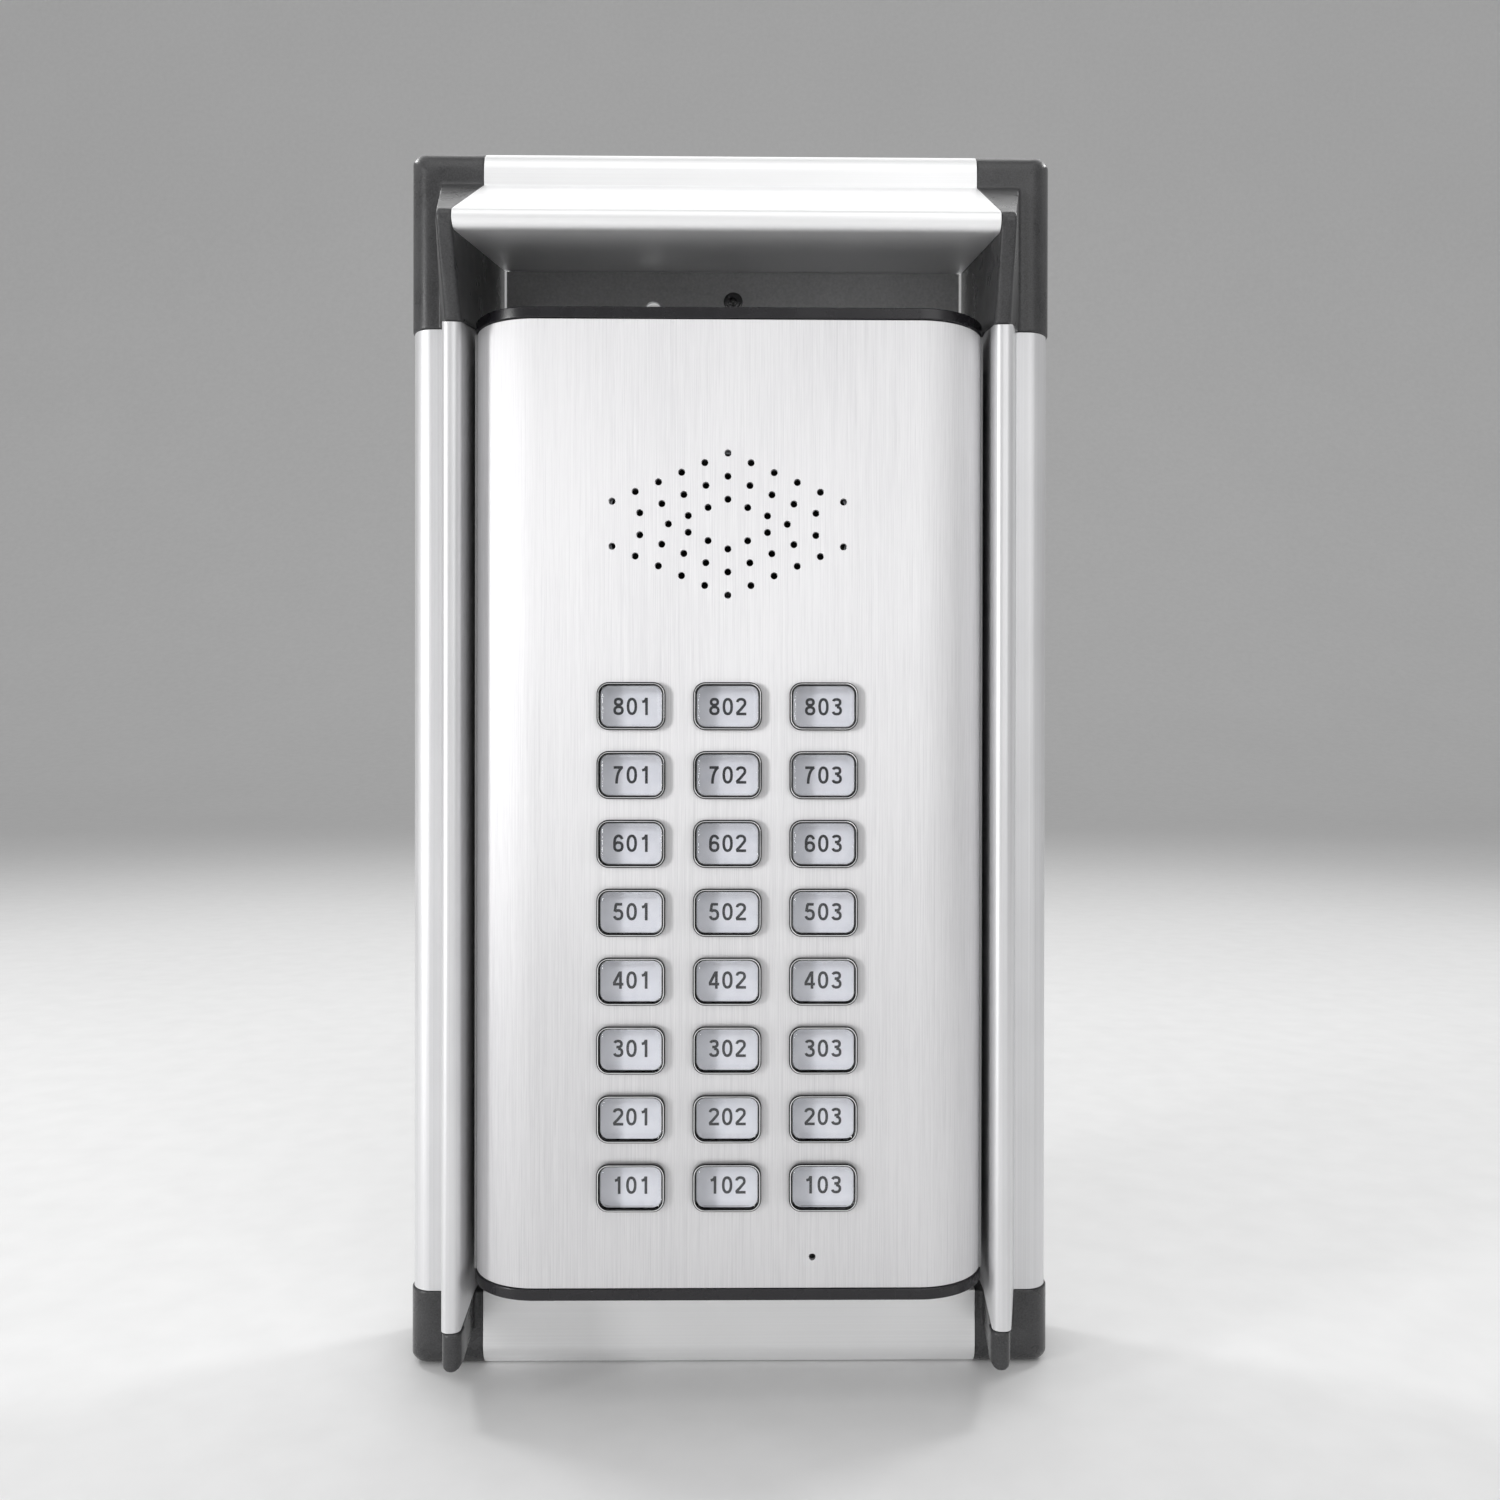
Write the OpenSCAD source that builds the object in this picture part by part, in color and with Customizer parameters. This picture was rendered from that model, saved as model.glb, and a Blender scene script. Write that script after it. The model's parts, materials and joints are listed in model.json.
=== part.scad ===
// Door intercom panel: a call station with 24 keys, set in a rain hood of rails and moulded corners.
// Frame: +Z is up, the front faces -Y and the wall is the plane Y = 0.
// Origin: the middle of the hood's wall face.

/* [Hood] */
// Height of the hood
hood_h = 383.6; // [382:0.2:390]
// Width over the two side rails
hood_w = 201; // [200:0.5:204]
// Depth of the rails in front of the wall
rail_depth = 33; // [32:0.5:34]
// Radius of the rails' outer front edge
rail_edge_r = 7; // [6:0.5:8]
// Wall thickness of the rail profiles
rail_wall = 1.5; // [1.3:0.1:1.6]
// Length of the top and bottom rails, between the corners
cross_rail_l = 155; // [154:0.5:155.5]
// How far the corners stand out past the side rails
corner_proud = 0.8; // [0.4:0.1:1]
// Gap left at each joint between a rail and a corner
joint_gap = 0.1; // [0.05:0.05:0.2]

/* [Rain visor] */
// Reach of the visor's lip from the wall
visor_reach = 75; // [74:0.5:76]
// Radius of the rounded lip
lip_r = 3; // [2.5:0.1:3.2]
// Height of the lip's centre above the hood's centre
lip_z = 152.9; // [152:0.1:154]
// Slope of the visor's top face, in degrees
visor_top_slope = 31; // [30:0.5:32]
// Slope of the visor's underside, in degrees
visor_under_slope = 12; // [11:0.5:13]

/* [Side fins] */
// Reach of a fin's nose from the wall
fin_reach = 63; // [62:0.5:64]
// Radius of the rounded nose
nose_r = 2.6; // [2.5:0.05:3]
// Distance of the nose's centre from the middle
nose_x = 80.25; // [79.8:0.05:80.5]
// Distance of the fin's outer face from the middle, where it meets the rail
fin_root_out = 89.6; // [89:0.1:90]
// Distance of the inner wall from the middle
rail_in = 80; // [79.8:0.1:80.2]
// Top end of the side rails
side_top = 134.7; // [134:0.1:136]
// How much lower the rail's top end is at the fin's nose
side_top_drop = 7.6; // [7:0.1:8]
// Bottom end of the side rails
side_bottom = -167.2; // [-168:0.1:-167]
// Lowest point of the rounded fin tips
fin_tip_bottom = -178.3; // [-179:0.1:-178]

/* [Call station] */
// Width over the housing
station_w = 153.8; // [153:0.2:154]
// Bottom of the station, below the hood's centre
station_bottom = -157.7; // [-158:0.1:-157]
// Top of the station, above the hood's centre
station_top = 131.7; // [131:0.1:132]
// Distance of the station's flat front from the wall
face_reach = 62.5; // [62:0.1:63]
// Width of the faceplate
face_w = 152; // [151:0.2:152]
// Width of the faceplate's flat part
face_flat_w = 112; // [110:0.5:112]
// Radius of the faceplate's curved sides
face_side_r = 21; // [20.6:0.1:22]
// Thickness of the faceplate
face_t = 2; // [1.8:0.1:2.2]
// Thickness of the end caps
cap_t = 3.3; // [3:0.1:3.5]
// How far the end caps stand out past the faceplate
cap_proud = 0.4; // [0.2:0.1:0.5]

/* [Keys] */
// Number of key columns
key_cols = 3; // [3]
// Number of key rows
key_rows = 8; // [8]
// Distance between columns
key_pitch_x = 28; // [27:0.5:29]
// Distance between rows
key_pitch_z = 20; // [19.5:0.5:20]
// Height of the lowest row above the hood's centre
key_row_1 = -124.5; // [-125:0.5:-124]
// Width of a key's bezel
bezel_w = 20; // [19.6:0.1:20.4]
// Height of a key's bezel
bezel_h = 14; // [13.8:0.1:14.4]
// Corner radius of a key's bezel
bezel_r = 3.6; // [3.2:0.1:4]
// Width of the bezel's rim
bezel_rim = 0.9; // [0.8:0.05:1]
// How far the bezels stand out from the faceplate
bezel_proud = 1.7; // [1.5:0.1:2]
// How far a key's front lies below its bezel's front
key_recess = 0.3; // [0.2:0.05:0.4]
// Gap around a key inside its bezel
key_gap = 0.2; // [0.15:0.05:0.25]
// How far a key travels when it is pressed
key_travel = 1.5; // [1:0.1:1.5]

/* [Speaker and microphone] */
// Diameter of a speaker hole
speaker_hole_d = 2; // [1.8:0.1:2.4]
// Height of the speaker's middle above the hood's centre
speaker_z = 68.6; // [66:0.1:70]
// Diameter of the microphone hole
mic_hole_d = 2; // [1.8:0.1:2.4]
// Distance of the microphone hole to the right of the middle
mic_x = 24.9; // [20:0.1:30]
// Height of the microphone hole, from the hood's centre
mic_z = -145.2; // [-146:0.1:-145]

/* [Fixing] */
// Thickness of the back plate
plate_t = 1.5; // [1.2:0.1:1.6]
// Diameter of the wall screw holes
wall_hole_d = 5; // [4:0.5:6]
// Distance across between wall screw holes
wall_hole_x = 120; // [110:5:120]
// Distance up between wall screw holes
wall_hole_z = 220; // [200:5:220]
// Diameter of the cable entry
cable_d = 12; // [8:1:14]

/* [Hidden] */
$fn = 48;
CORNER_STEPS = 12;
HULL_FN = 28;
CUT = 1;

// Hood heights and widths
top_z = hood_h / 2;
rail_x = hood_w / 2;
cross_x = cross_rail_l / 2;
corner_x = rail_x + corner_proud;
lip_y = -(visor_reach - lip_r);
nose_y = -(fin_reach - nose_r);
fin_out_angle = atan((fin_root_out - nose_x - nose_r) / (-nose_y - rail_depth));
fin_in_angle = atan((rail_in - nose_x + nose_r) / (-nose_y - rail_depth));
side_top_slope = atan(side_top_drop / (fin_reach - rail_depth));
tip_depth = 6;
tip_proud = 0.3;
tip_corner_r = 2.4;

// The visor's faces, as heights over the distance y from the wall
function visor_top(y) =
    lip_z + lip_r * cos(visor_top_slope)
    + (y - lip_y + lip_r * sin(visor_top_slope)) * tan(visor_top_slope);
function visor_under(y) =
    lip_z - lip_r * cos(visor_under_slope)
    + (y - lip_y - lip_r * sin(visor_under_slope)) * tan(visor_under_slope);
root_z = visor_top(-rail_depth);

// Back plate
plate_front = -2.8;
plate_back = plate_front + plate_t;
flange_t = 1.2;
flange_h = 19;
flange_x = 75.6;
foot_x = 77.6;
foot_t = 4;
plate_narrow_x = 76.3;
plate_wide_x = 79.3;
spare_hole = [-27, 151.6];
spare_hole_d = 5.5;
rivet_top_z = 154.4;
rivet_bottom_z = -162.4;
rivet_d = 3.2;
rivet_head_d = 6.4;

// Corner spigots: the bars that plug into the ends of the rails
spigot_l = 12;
spigot_gap = 0.2;
spigot_h = 15;
spigot_w = 11;
corner_wall = 2.2;
corner_screw_d = 2.9;
corner_screw_l = 7;
corner_screw_head_d = 5.8;

// Station depths, all along Y
face_front = -face_reach;
face_back = face_front + face_t;
side_arc_y = face_front + face_side_r;
side_arc_x = face_flat_w / 2;
side_arc_end = acos((face_w / 2 - side_arc_x) / face_side_r);
housing_back = -3;
housing_front = side_arc_y - (face_side_r - face_t) * sin(side_arc_end) + 0.15;
housing_wall = 2.2;
housing_top = station_top - cap_t - 0.05;
housing_bottom = station_bottom + cap_t + 0.05;
face_top = station_top - cap_t - 0.2;
face_bottom = station_bottom + cap_t + 0.2;
slot_rib_x = 49.5;
slot_rib_t = 2.5;
slot_depth = 1;
slot_notch_x = slot_rib_x + slot_rib_t + 0.3;
guide_t = 2;
board_t = 1.6;
board_front = face_front + 14.5;
board_back = board_front + board_t;
board_x = slot_rib_x + 0.8;
slot_rib_back = board_back + 2;
guide_bottom = -138;
guide_top = 30;
board_bottom = -151.6;

// Keys
key_w = bezel_w - 2 * bezel_rim - 2 * key_gap;
key_h = bezel_h - 2 * bezel_rim - 2 * key_gap;
key_r = bezel_r - bezel_rim - key_gap;
key_front = face_front - bezel_proud + key_recess;
skirt_wall = 0.5;
skirt_back = face_back + 1;
opening_gap = 0.1;
lens_t = 4;
card_t = 0.3;
card_gap = 0.05;
card_margin = 0.4;
flange_gap = 0.15;
key_flange_t = 1.2;
card_front = key_front + lens_t + card_gap;
key_flange_front = skirt_back + flange_gap;
key_flange_back = key_flange_front + key_flange_t;
stem_d = 3.2;
stem_bore_d = 3.36;
switch_w = 7;
switch_h = 5.2;
stem_reach = 2.3;
stem_end = board_front - switch_h + stem_reach;
switch_bore = stem_reach + key_travel + 0.2;
guide_front = key_flange_back + key_travel + 0.25;

// Speaker: rings of holes, each given as step across, height at the middle, drop per step, steps
hole_rings = [
    [6.74, 20.7, 2.83, 5],
    [6.41, 13.94, 2.68, 4],
    [5.77, 7.24, 2.41, 3],
];
speaker_w = 78;
speaker_h = 50;
gasket_t = 1;
speaker_flange_t = 1.2;
speaker_rim = 3;
basket_depth = 10;
magnet_d = 32;
magnet_t = 9;
speaker_front = face_back + gasket_t;
basket_back = speaker_front + speaker_flange_t + basket_depth;
mount_top = 108;
mount_bottom = 31.5;

// Microphone
boot_d = 12;
mic_d = 9.7;
mic_l = 6.5;
mic_front = face_back + 3;

// Main board and its parts
main_w = 110;
main_bottom = -90;
main_top = 30;
main_front = -14;
main_back = main_front + board_t;
main_hole_x = 48;
main_hole_z = [-80, 20];
pillar_d = 7;
board_screw_d = 2.9;
pilot_d = 3;
pan_head_d = 5.6;
pan_head_t = 2.2;
entry_z = 62;
entry_wall_d = 20;
entry_plate_d = 30;
grommet_flange_d = 26;
fixing = [40, 90];
fixing_d = 3.9;
wall_access_d = 14;
cap_screw_x = 60;
cap_screw_y = -25;
cap_boss_d = 8;
cap_boss_l = 12;
cap_screw_head_d = 6;
ribbon_w = 16;
ribbon_t = 1;
ribbon_z = -70;
header_w = 22;
header_h = 8;
header_t = 9;

// ---- Outlines and placing ----

// Points along an arc
function arc(cx, cy, r, from, to) =
    [for (i = [0:CORNER_STEPS]) let (a = from + (to - from) * i / CORNER_STEPS)
        [cx + r * cos(a), cy + r * sin(a)]];

// Runs an outline drawn in (Y, Z) along X
module along_x(from, to) {
    translate([from, 0, 0]) rotate([90, 0, 90]) linear_extrude(to - from) children();
}

// Runs an outline drawn in (X, Z) along Y, from the front face to the back face
module along_y(front, back) {
    translate([0, back, 0]) rotate([90, 0, 0]) linear_extrude(back - front) children();
}

// Runs an outline drawn in (X, Y) along Z
module along_z(bottom, top) {
    translate([0, 0, bottom]) linear_extrude(top - bottom) children();
}

module round_rect(w, h, r) {
    square([w - 2 * r, h], center = true);
    square([w, h - 2 * r], center = true);
    for (x = [-1, 1], z = [-1, 1]) translate([x * (w / 2 - r), z * (h / 2 - r)]) circle(r);
}

module box(low, high) {
    translate(low) cube(high - low);
}

module left() {
    mirror([1, 0, 0]) children();
}

module at_four(x, z) {
    for (i = [-1, 1], j = [-1, 1]) translate([i * x, j * z]) children();
}

// A countersunk screw along Z, its flat head at the origin and its tip below
module countersunk_screw(d, l, head_d) {
    rotate_extrude() polygon([[0, 0], [head_d / 2, 0], [d / 2, -(head_d - d) / 2], [d / 2, -l], [0, -l]]);
}

// The space that such a screw takes in the piece it holds
module countersunk_hole(d, l, head_d, gap = 0.1) {
    rotate_extrude() polygon([
        [0, CUT], [head_d / 2 + gap, CUT], [head_d / 2 + gap, -gap / 2],
        [d / 2 + gap, -gap / 2 - (head_d - d) / 2], [d / 2 + gap, -l], [0, -l]]);
}

// A pan head screw along Z, the head above the origin
module pan_screw(d, l, head_d, head_t) {
    translate([0, 0, -l]) cylinder(d = d, h = l + 0.1);
    difference() {
        cylinder(d = head_d, h = head_t);
        translate([-head_d / 5, -0.4, head_t / 2]) cube([head_d * 0.4, 0.8, head_t]);
        translate([-0.4, -head_d / 5, head_t / 2]) cube([0.8, head_d * 0.4, head_t]);
    }
}

// ---- Hood ----

module side_rail_outline() {
    edge_x = rail_x - rail_edge_r;
    edge_y = -(rail_depth - rail_edge_r);
    polygon(concat(
        [[foot_x, 0], [rail_x, 0]],
        arc(edge_x, edge_y, rail_edge_r, 0, -90),
        [[fin_root_out, -rail_depth]],
        arc(nose_x, nose_y, nose_r, -fin_out_angle, fin_in_angle - 180 - 2 * fin_in_angle),
        [[rail_in, -rail_depth], [rail_in, -foot_t], [foot_x, -foot_t]]));
}

module side_rail_chambers() {
    edge_x = rail_x - rail_edge_r;
    edge_y = -(rail_depth - rail_edge_r);
    inner_x = rail_in + rail_wall;
    polygon(concat(
        [[inner_x, -rail_wall], [rail_x - rail_wall, -rail_wall]],
        arc(edge_x, edge_y, rail_edge_r - rail_wall, 0, -90),
        [[inner_x, -(rail_depth - rail_wall)]]));
    polygon([[inner_x - 0.2, -rail_depth - rail_wall], [fin_root_out - 1.9, -rail_depth - rail_wall],
        [nose_x + 2.4, nose_y + 4], [nose_x - 1, nose_y + 4]]);
}

module side_rail() {
    slope_cut = fin_reach + CUT - rail_depth;
    difference() {
        along_z(side_bottom + joint_gap, side_top - joint_gap) difference() {
            side_rail_outline();
            side_rail_chambers();
            translate([foot_x - CUT, plate_front - 0.1]) square([CUT + 2, plate_t + 0.2]);
        }
        along_x(nose_x - 10, nose_x + 12) polygon([
            [-rail_depth, side_top - joint_gap], [-rail_depth, side_top + CUT],
            [-rail_depth - slope_cut, side_top + CUT],
            [-rail_depth - slope_cut, side_top - joint_gap - slope_cut * tan(side_top_slope)]]);
        for (z = [side_top - spigot_l / 2, side_bottom + spigot_l / 2])
            translate([rail_in + rail_wall + spigot_w / 2, 0, z])
                rotate([-90, 0, 0]) countersunk_hole(corner_screw_d, corner_screw_l, corner_screw_head_d);
    }
}

module hood_side_rail_right() {
    color("silver") side_rail();
}

module hood_side_rail_left() {
    color("silver") left() side_rail();
}

module visor_outline() {
    edge_y = -(rail_depth - rail_edge_r);
    edge_z = top_z - rail_edge_r;
    polygon(concat(
        [[0, visor_under(0)], [0, top_z]],
        arc(edge_y, edge_z, rail_edge_r, 90, 180),
        [[-rail_depth, root_z]],
        arc(lip_y, lip_z, lip_r, 90 + visor_top_slope, 270 + visor_under_slope)));
}

module visor_chambers() {
    edge_y = -(rail_depth - rail_edge_r);
    edge_z = top_z - rail_edge_r;
    inner_y = -(rail_depth - rail_wall);
    polygon(concat(
        [[-rail_wall, visor_under(-rail_wall) + rail_wall + 0.1], [-rail_wall, top_z - rail_wall]],
        arc(edge_y, edge_z, rail_edge_r - rail_wall, 90, 180),
        [[inner_y, visor_under(inner_y) + rail_wall + 0.1]]));
    polygon([
        [-rail_depth, visor_under(-rail_depth) + rail_wall + 0.1],
        [-rail_depth, visor_top(-rail_depth) - rail_wall - 0.4],
        [lip_y + 5, visor_top(lip_y + 5) - rail_wall - 0.4],
        [lip_y + 5, visor_under(lip_y + 5) + rail_wall + 0.1]]);
}

module hood_top_rail() {
    flange_bottom = visor_under(0) - flange_h;
    color("whitesmoke") difference() {
        union() {
            along_x(-cross_x + joint_gap, cross_x - joint_gap) difference() {
                visor_outline();
                visor_chambers();
            }
            box([-flange_x, -flange_t, flange_bottom], [flange_x, 0, visor_under(0) + 1]);
        }
        for (side = [-1, 1]) translate([side * (cross_x - spigot_l / 2), 0, top_z - 16.5])
            rotate([-90, 0, 0]) countersunk_hole(corner_screw_d, corner_screw_l, corner_screw_head_d);
        translate([0, CUT, rivet_top_z]) rotate([90, 0, 0]) cylinder(d = rivet_d + 0.1, h = 4);
        translate([spare_hole[0], CUT, spare_hole[1]]) rotate([90, 0, 0]) cylinder(d = spare_hole_d, h = 4);
    }
}

module bottom_rail_outline(inset = 0) {
    edge_y = -(rail_depth - rail_edge_r);
    edge_z = -top_z + rail_edge_r;
    polygon(concat(
        [[-inset, side_bottom - inset], [-rail_depth + inset, side_bottom - inset]],
        arc(edge_y, edge_z, rail_edge_r - inset, 180, 270),
        [[-inset, -top_z + inset]]));
}

module hood_bottom_rail() {
    color("silver") difference() {
        union() {
            along_x(-cross_x + joint_gap, cross_x - joint_gap) difference() {
                bottom_rail_outline();
                bottom_rail_outline(rail_wall);
            }
            box([-flange_x, -flange_t, side_bottom - 1], [flange_x, 0, side_bottom + flange_h]);
        }
        for (side = [-1, 1]) translate([side * (cross_x - spigot_l / 2), 0, side_bottom - 9])
            rotate([-90, 0, 0]) countersunk_hole(corner_screw_d, corner_screw_l, corner_screw_head_d);
        translate([0, CUT, rivet_bottom_z]) rotate([90, 0, 0]) cylinder(d = rivet_d + 0.1, h = 4);
    }
}

// The corner's outline from the front, with its outer corner rounded
module corner_front(bottom, top, round_top) {
    r = 3.5;
    round_z = round_top ? top - r : bottom + r;
    difference() {
        translate([cross_x, bottom]) square([corner_x - cross_x, top - bottom]);
        translate([corner_x - r, round_top ? round_z : round_z - r - CUT]) square([r + CUT, r + CUT]);
    }
    translate([corner_x - r, round_z]) circle(r);
}

// The corner's outlines from above and from the side, which round its front edges
module corner_plan() {
    r = rail_edge_r + corner_proud;
    polygon(concat([[cross_x - CUT, CUT], [corner_x, CUT]],
        arc(corner_x - r, -rail_depth + r, r, 0, -90), [[cross_x - CUT, -rail_depth]]));
}

module corner_side(flat_z, round_z) {
    edge_z = round_z - sign(round_z) * rail_edge_r;
    polygon(concat([[CUT, flat_z], [CUT, round_z]],
        arc(-rail_depth + rail_edge_r, edge_z, rail_edge_r, 90 * sign(round_z), 180 * sign(round_z)),
        [[-rail_depth, flat_z]]));
}

module corner_block(flat_z, round_z) {
    low = min(flat_z, round_z);
    high = max(flat_z, round_z);
    intersection() {
        along_y(-rail_depth, 0) corner_front(low, high, round_z > 0);
        along_z(low, high) corner_plan();
        along_x(cross_x - CUT, corner_x + CUT) corner_side(flat_z, round_z);
    }
}

// A bar that plugs into a rail, hollow from the front, with a hole for its screw
module spigot(low, high, screw) {
    difference() {
        box(low, high);
        box([low[0] + corner_wall, low[1] - CUT, low[2] + corner_wall],
            [high[0] - corner_wall, high[1] - 8, high[2] - corner_wall]);
        translate([screw[0], CUT, screw[1]]) rotate([90, 0, 0])
            cylinder(d = corner_screw_d + 0.1, h = corner_screw_l + 3);
    }
}

// The wedge that carries the visor's slopes round to the fin, above the slanted joint
module corner_wedge(inset = 0) {
    root_x = fin_root_out + 1;
    low_y = -visor_reach - CUT;
    difference() {
        hull() {
            along_y(-rail_depth - 0.1, -rail_depth + 1 + inset) polygon([
                [cross_x + inset, side_top + 2 * inset], [root_x - inset, side_top + 2 * inset],
                [root_x - inset, root_z - inset], [cross_x + inset, root_z - inset]]);
            translate([cross_x + inset, lip_y + 2 * inset, lip_z]) rotate([0, 90, 0])
                cylinder(r = lip_r - inset / 2, h = 4.2 - inset, $fn = HULL_FN);
            translate([cross_x + 3, lip_y + 2 * inset + 0.8, lip_z - 0.5])
                sphere(r = 2.2 - inset / 2, $fn = HULL_FN);
            translate([nose_x, nose_y + 2 * inset, side_top - side_top_drop - 0.4 + 2 * inset])
                cylinder(r = nose_r - inset / 2, h = 4, $fn = HULL_FN);
        }
        along_x(cross_x - 2, corner_x + 1) polygon([
            [CUT, side_top + inset], [-rail_depth, side_top + inset],
            [low_y, side_top + inset + (low_y + rail_depth) * tan(side_top_slope)],
            [low_y, side_top - 60], [CUT, side_top - 60]]);
        box([nose_x - 10, low_y, side_top - 30], [cross_x, 0, top_z]);
    }
}

module top_corner() {
    spigot_x = rail_in + rail_wall + spigot_gap;
    front = -(rail_depth - rail_wall - spigot_gap);
    back = -(rail_wall + spigot_gap);
    screw_z = top_z - 16.5;
    difference() {
        union() {
            corner_block(side_top, top_z);
            corner_wedge();
        }
        box([cross_x + corner_wall, -(rail_depth - corner_wall), side_top + corner_wall],
            [corner_x - corner_wall, CUT, top_z - corner_wall]);
        corner_wedge(corner_wall);
    }
    spigot([spigot_x, front, side_top - spigot_l], [spigot_x + spigot_w - 0.4, back, side_top + 0.1],
        [rail_in + rail_wall + spigot_w / 2, side_top - spigot_l / 2]);
    spigot([cross_x - spigot_l, front, screw_z - spigot_h / 2], [cross_x + 0.1, back, screw_z + spigot_h / 2],
        [cross_x - spigot_l / 2, screw_z]);
}

module hood_corner_top_right() {
    color("dimgray") top_corner();
}

module hood_corner_top_left() {
    color("dimgray") left() top_corner();
}

// The fin's end below the side rail, with a slightly proud rounded tip at its nose
module fin_end() {
    tip_back = -fin_reach + tip_depth;
    intersection() {
        along_z(fin_tip_bottom - 1, side_bottom) side_rail_outline();
        box([nose_x - 10, tip_back, fin_tip_bottom], [fin_root_out + 1, -rail_depth + CUT, side_bottom]);
    }
    intersection() {
        along_z(fin_tip_bottom, side_bottom) {
            translate([nose_x, nose_y - tip_proud]) circle(nose_r + tip_proud);
            translate([nose_x - nose_r - tip_proud, nose_y - tip_proud])
                square([2 * (nose_r + tip_proud), tip_depth - nose_r + tip_proud]);
        }
        along_y(-fin_reach - 2, -rail_depth) {
            half = nose_r + tip_proud;
            for (side = [-1, 1]) translate([nose_x + side * (half - tip_corner_r), fin_tip_bottom + tip_corner_r])
                circle(tip_corner_r);
            translate([nose_x - half, fin_tip_bottom + tip_corner_r]) square([2 * half, 20]);
            translate([nose_x - half + tip_corner_r, fin_tip_bottom]) square([2 * (half - tip_corner_r), 4]);
        }
    }
}

module bottom_corner() {
    spigot_x = rail_in + rail_wall + spigot_gap;
    front = -(rail_depth - rail_wall - spigot_gap);
    back = -(rail_wall + spigot_gap);
    screw_z = side_bottom - 9;
    difference() {
        union() {
            corner_block(side_bottom, -top_z);
            fin_end();
        }
        box([cross_x + corner_wall, -(rail_depth - corner_wall), -top_z + corner_wall],
            [corner_x - corner_wall, CUT, side_bottom - corner_wall]);
    }
    spigot([spigot_x, front, side_bottom - 0.1], [spigot_x + spigot_w - 0.4, back, side_bottom + spigot_l],
        [rail_in + rail_wall + spigot_w / 2, side_bottom + spigot_l / 2]);
    spigot([cross_x - spigot_l, front, screw_z - spigot_h / 2 + 0.8],
        [cross_x + 0.1, back, screw_z + spigot_h / 2 - 0.8], [cross_x - spigot_l / 2, screw_z]);
}

module hood_corner_bottom_right() {
    color("dimgray") bottom_corner();
}

module hood_corner_bottom_left() {
    color("dimgray") left() bottom_corner();
}

module hood_back_plate() {
    plate_top = visor_under(plate_front) - 0.3;
    color("gray") difference() {
        along_y(plate_front, plate_back) {
            translate([-plate_narrow_x, side_bottom + 0.3])
                square([2 * plate_narrow_x, plate_top - side_bottom - 0.3]);
            translate([-plate_wide_x, side_bottom + 3])
                square([2 * plate_wide_x, side_top - side_bottom - 6]);
        }
        translate([0, CUT, 0]) rotate([90, 0, 0]) linear_extrude(10) {
            at_four(wall_hole_x / 2, wall_hole_z / 2) circle(d = wall_hole_d);
            at_four(fixing[0], fixing[1]) circle(d = fixing_d + 0.1);
            translate([0, entry_z]) circle(d = entry_plate_d);
            translate(spare_hole) circle(d = spare_hole_d);
            for (z = [rivet_top_z, rivet_bottom_z]) translate([0, z]) circle(d = rivet_d + 0.1);
        }
    }
}

module hood_corner_screws() {
    color("lightgray") for (side = [-1, 1]) {
        for (place = [
            [cross_x - spigot_l / 2, top_z - 16.5],
            [cross_x - spigot_l / 2, side_bottom - 9],
            [rail_in + rail_wall + spigot_w / 2, side_top - spigot_l / 2],
            [rail_in + rail_wall + spigot_w / 2, side_bottom + spigot_l / 2]])
            translate([side * place[0], -0.1, place[1]]) rotate([-90, 0, 0])
                countersunk_screw(corner_screw_d, corner_screw_l, corner_screw_head_d);
    }
}

// Blind rivets that hold the back plate to the flanges of the top and bottom rails
module hood_rivets() {
    color("lightgray") for (z = [rivet_top_z, rivet_bottom_z])
        translate([0, plate_front, z]) rotate([90, 0, 0]) difference() {
            union() {
                translate([0, 0, plate_front + 0.2]) cylinder(d = rivet_d, h = -plate_front);
                cylinder(d = rivet_head_d, h = 0.7);
                cylinder(d = rivet_head_d * 0.7, h = 1.2);
            }
            translate([0, 0, 0.4]) cylinder(d = 1.8, h = 2);
        }
}

// ---- Call station shell ----

// Half of the faceplate's section: the outer arc on the right, or its inner one
function face_arc(r, from, to) = arc(side_arc_x, side_arc_y, r, from, to);
function flipped(points) = [for (i = [len(points) - 1:-1:0]) [-points[i][0], points[i][1]]];

module face_section() {
    outer = face_arc(face_side_r, -90, -side_arc_end);
    inner = face_arc(face_side_r - face_t, -side_arc_end, -90);
    polygon(concat(outer, inner, flipped(inner), flipped(outer)));
    for (side = [-1, 1]) scale([side, 1]) difference() {
        translate([slot_rib_x, face_back - 0.1]) square([slot_rib_t, slot_rib_back - face_back]);
        translate([slot_rib_x - CUT, guide_front - 0.1]) square([slot_depth + CUT, guide_t + 0.2]);
        translate([slot_rib_x - CUT, board_front - 0.1]) square([slot_depth + CUT, board_t + 0.2]);
    }
}

// Centres of every key, as [x, z]
function key_place(col, row) =
    [(col - (key_cols + 1) / 2) * key_pitch_x, key_row_1 + (row - 1) * key_pitch_z];

module at_keys() {
    for (col = [1:key_cols], row = [1:key_rows]) translate(key_place(col, row)) children();
}

module speaker_holes() {
    translate([0, speaker_z]) for (ring = hole_rings) for (i = [0:ring[3]]) {
        rise = ring[1] - i * ring[2];
        for (x = i == 0 ? [0] : [-1, 1], z = rise < 0.5 ? [0] : [-1, 1])
            translate([x * i * ring[0], z * rise]) circle(d = speaker_hole_d, $fn = 24);
    }
}

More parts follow.
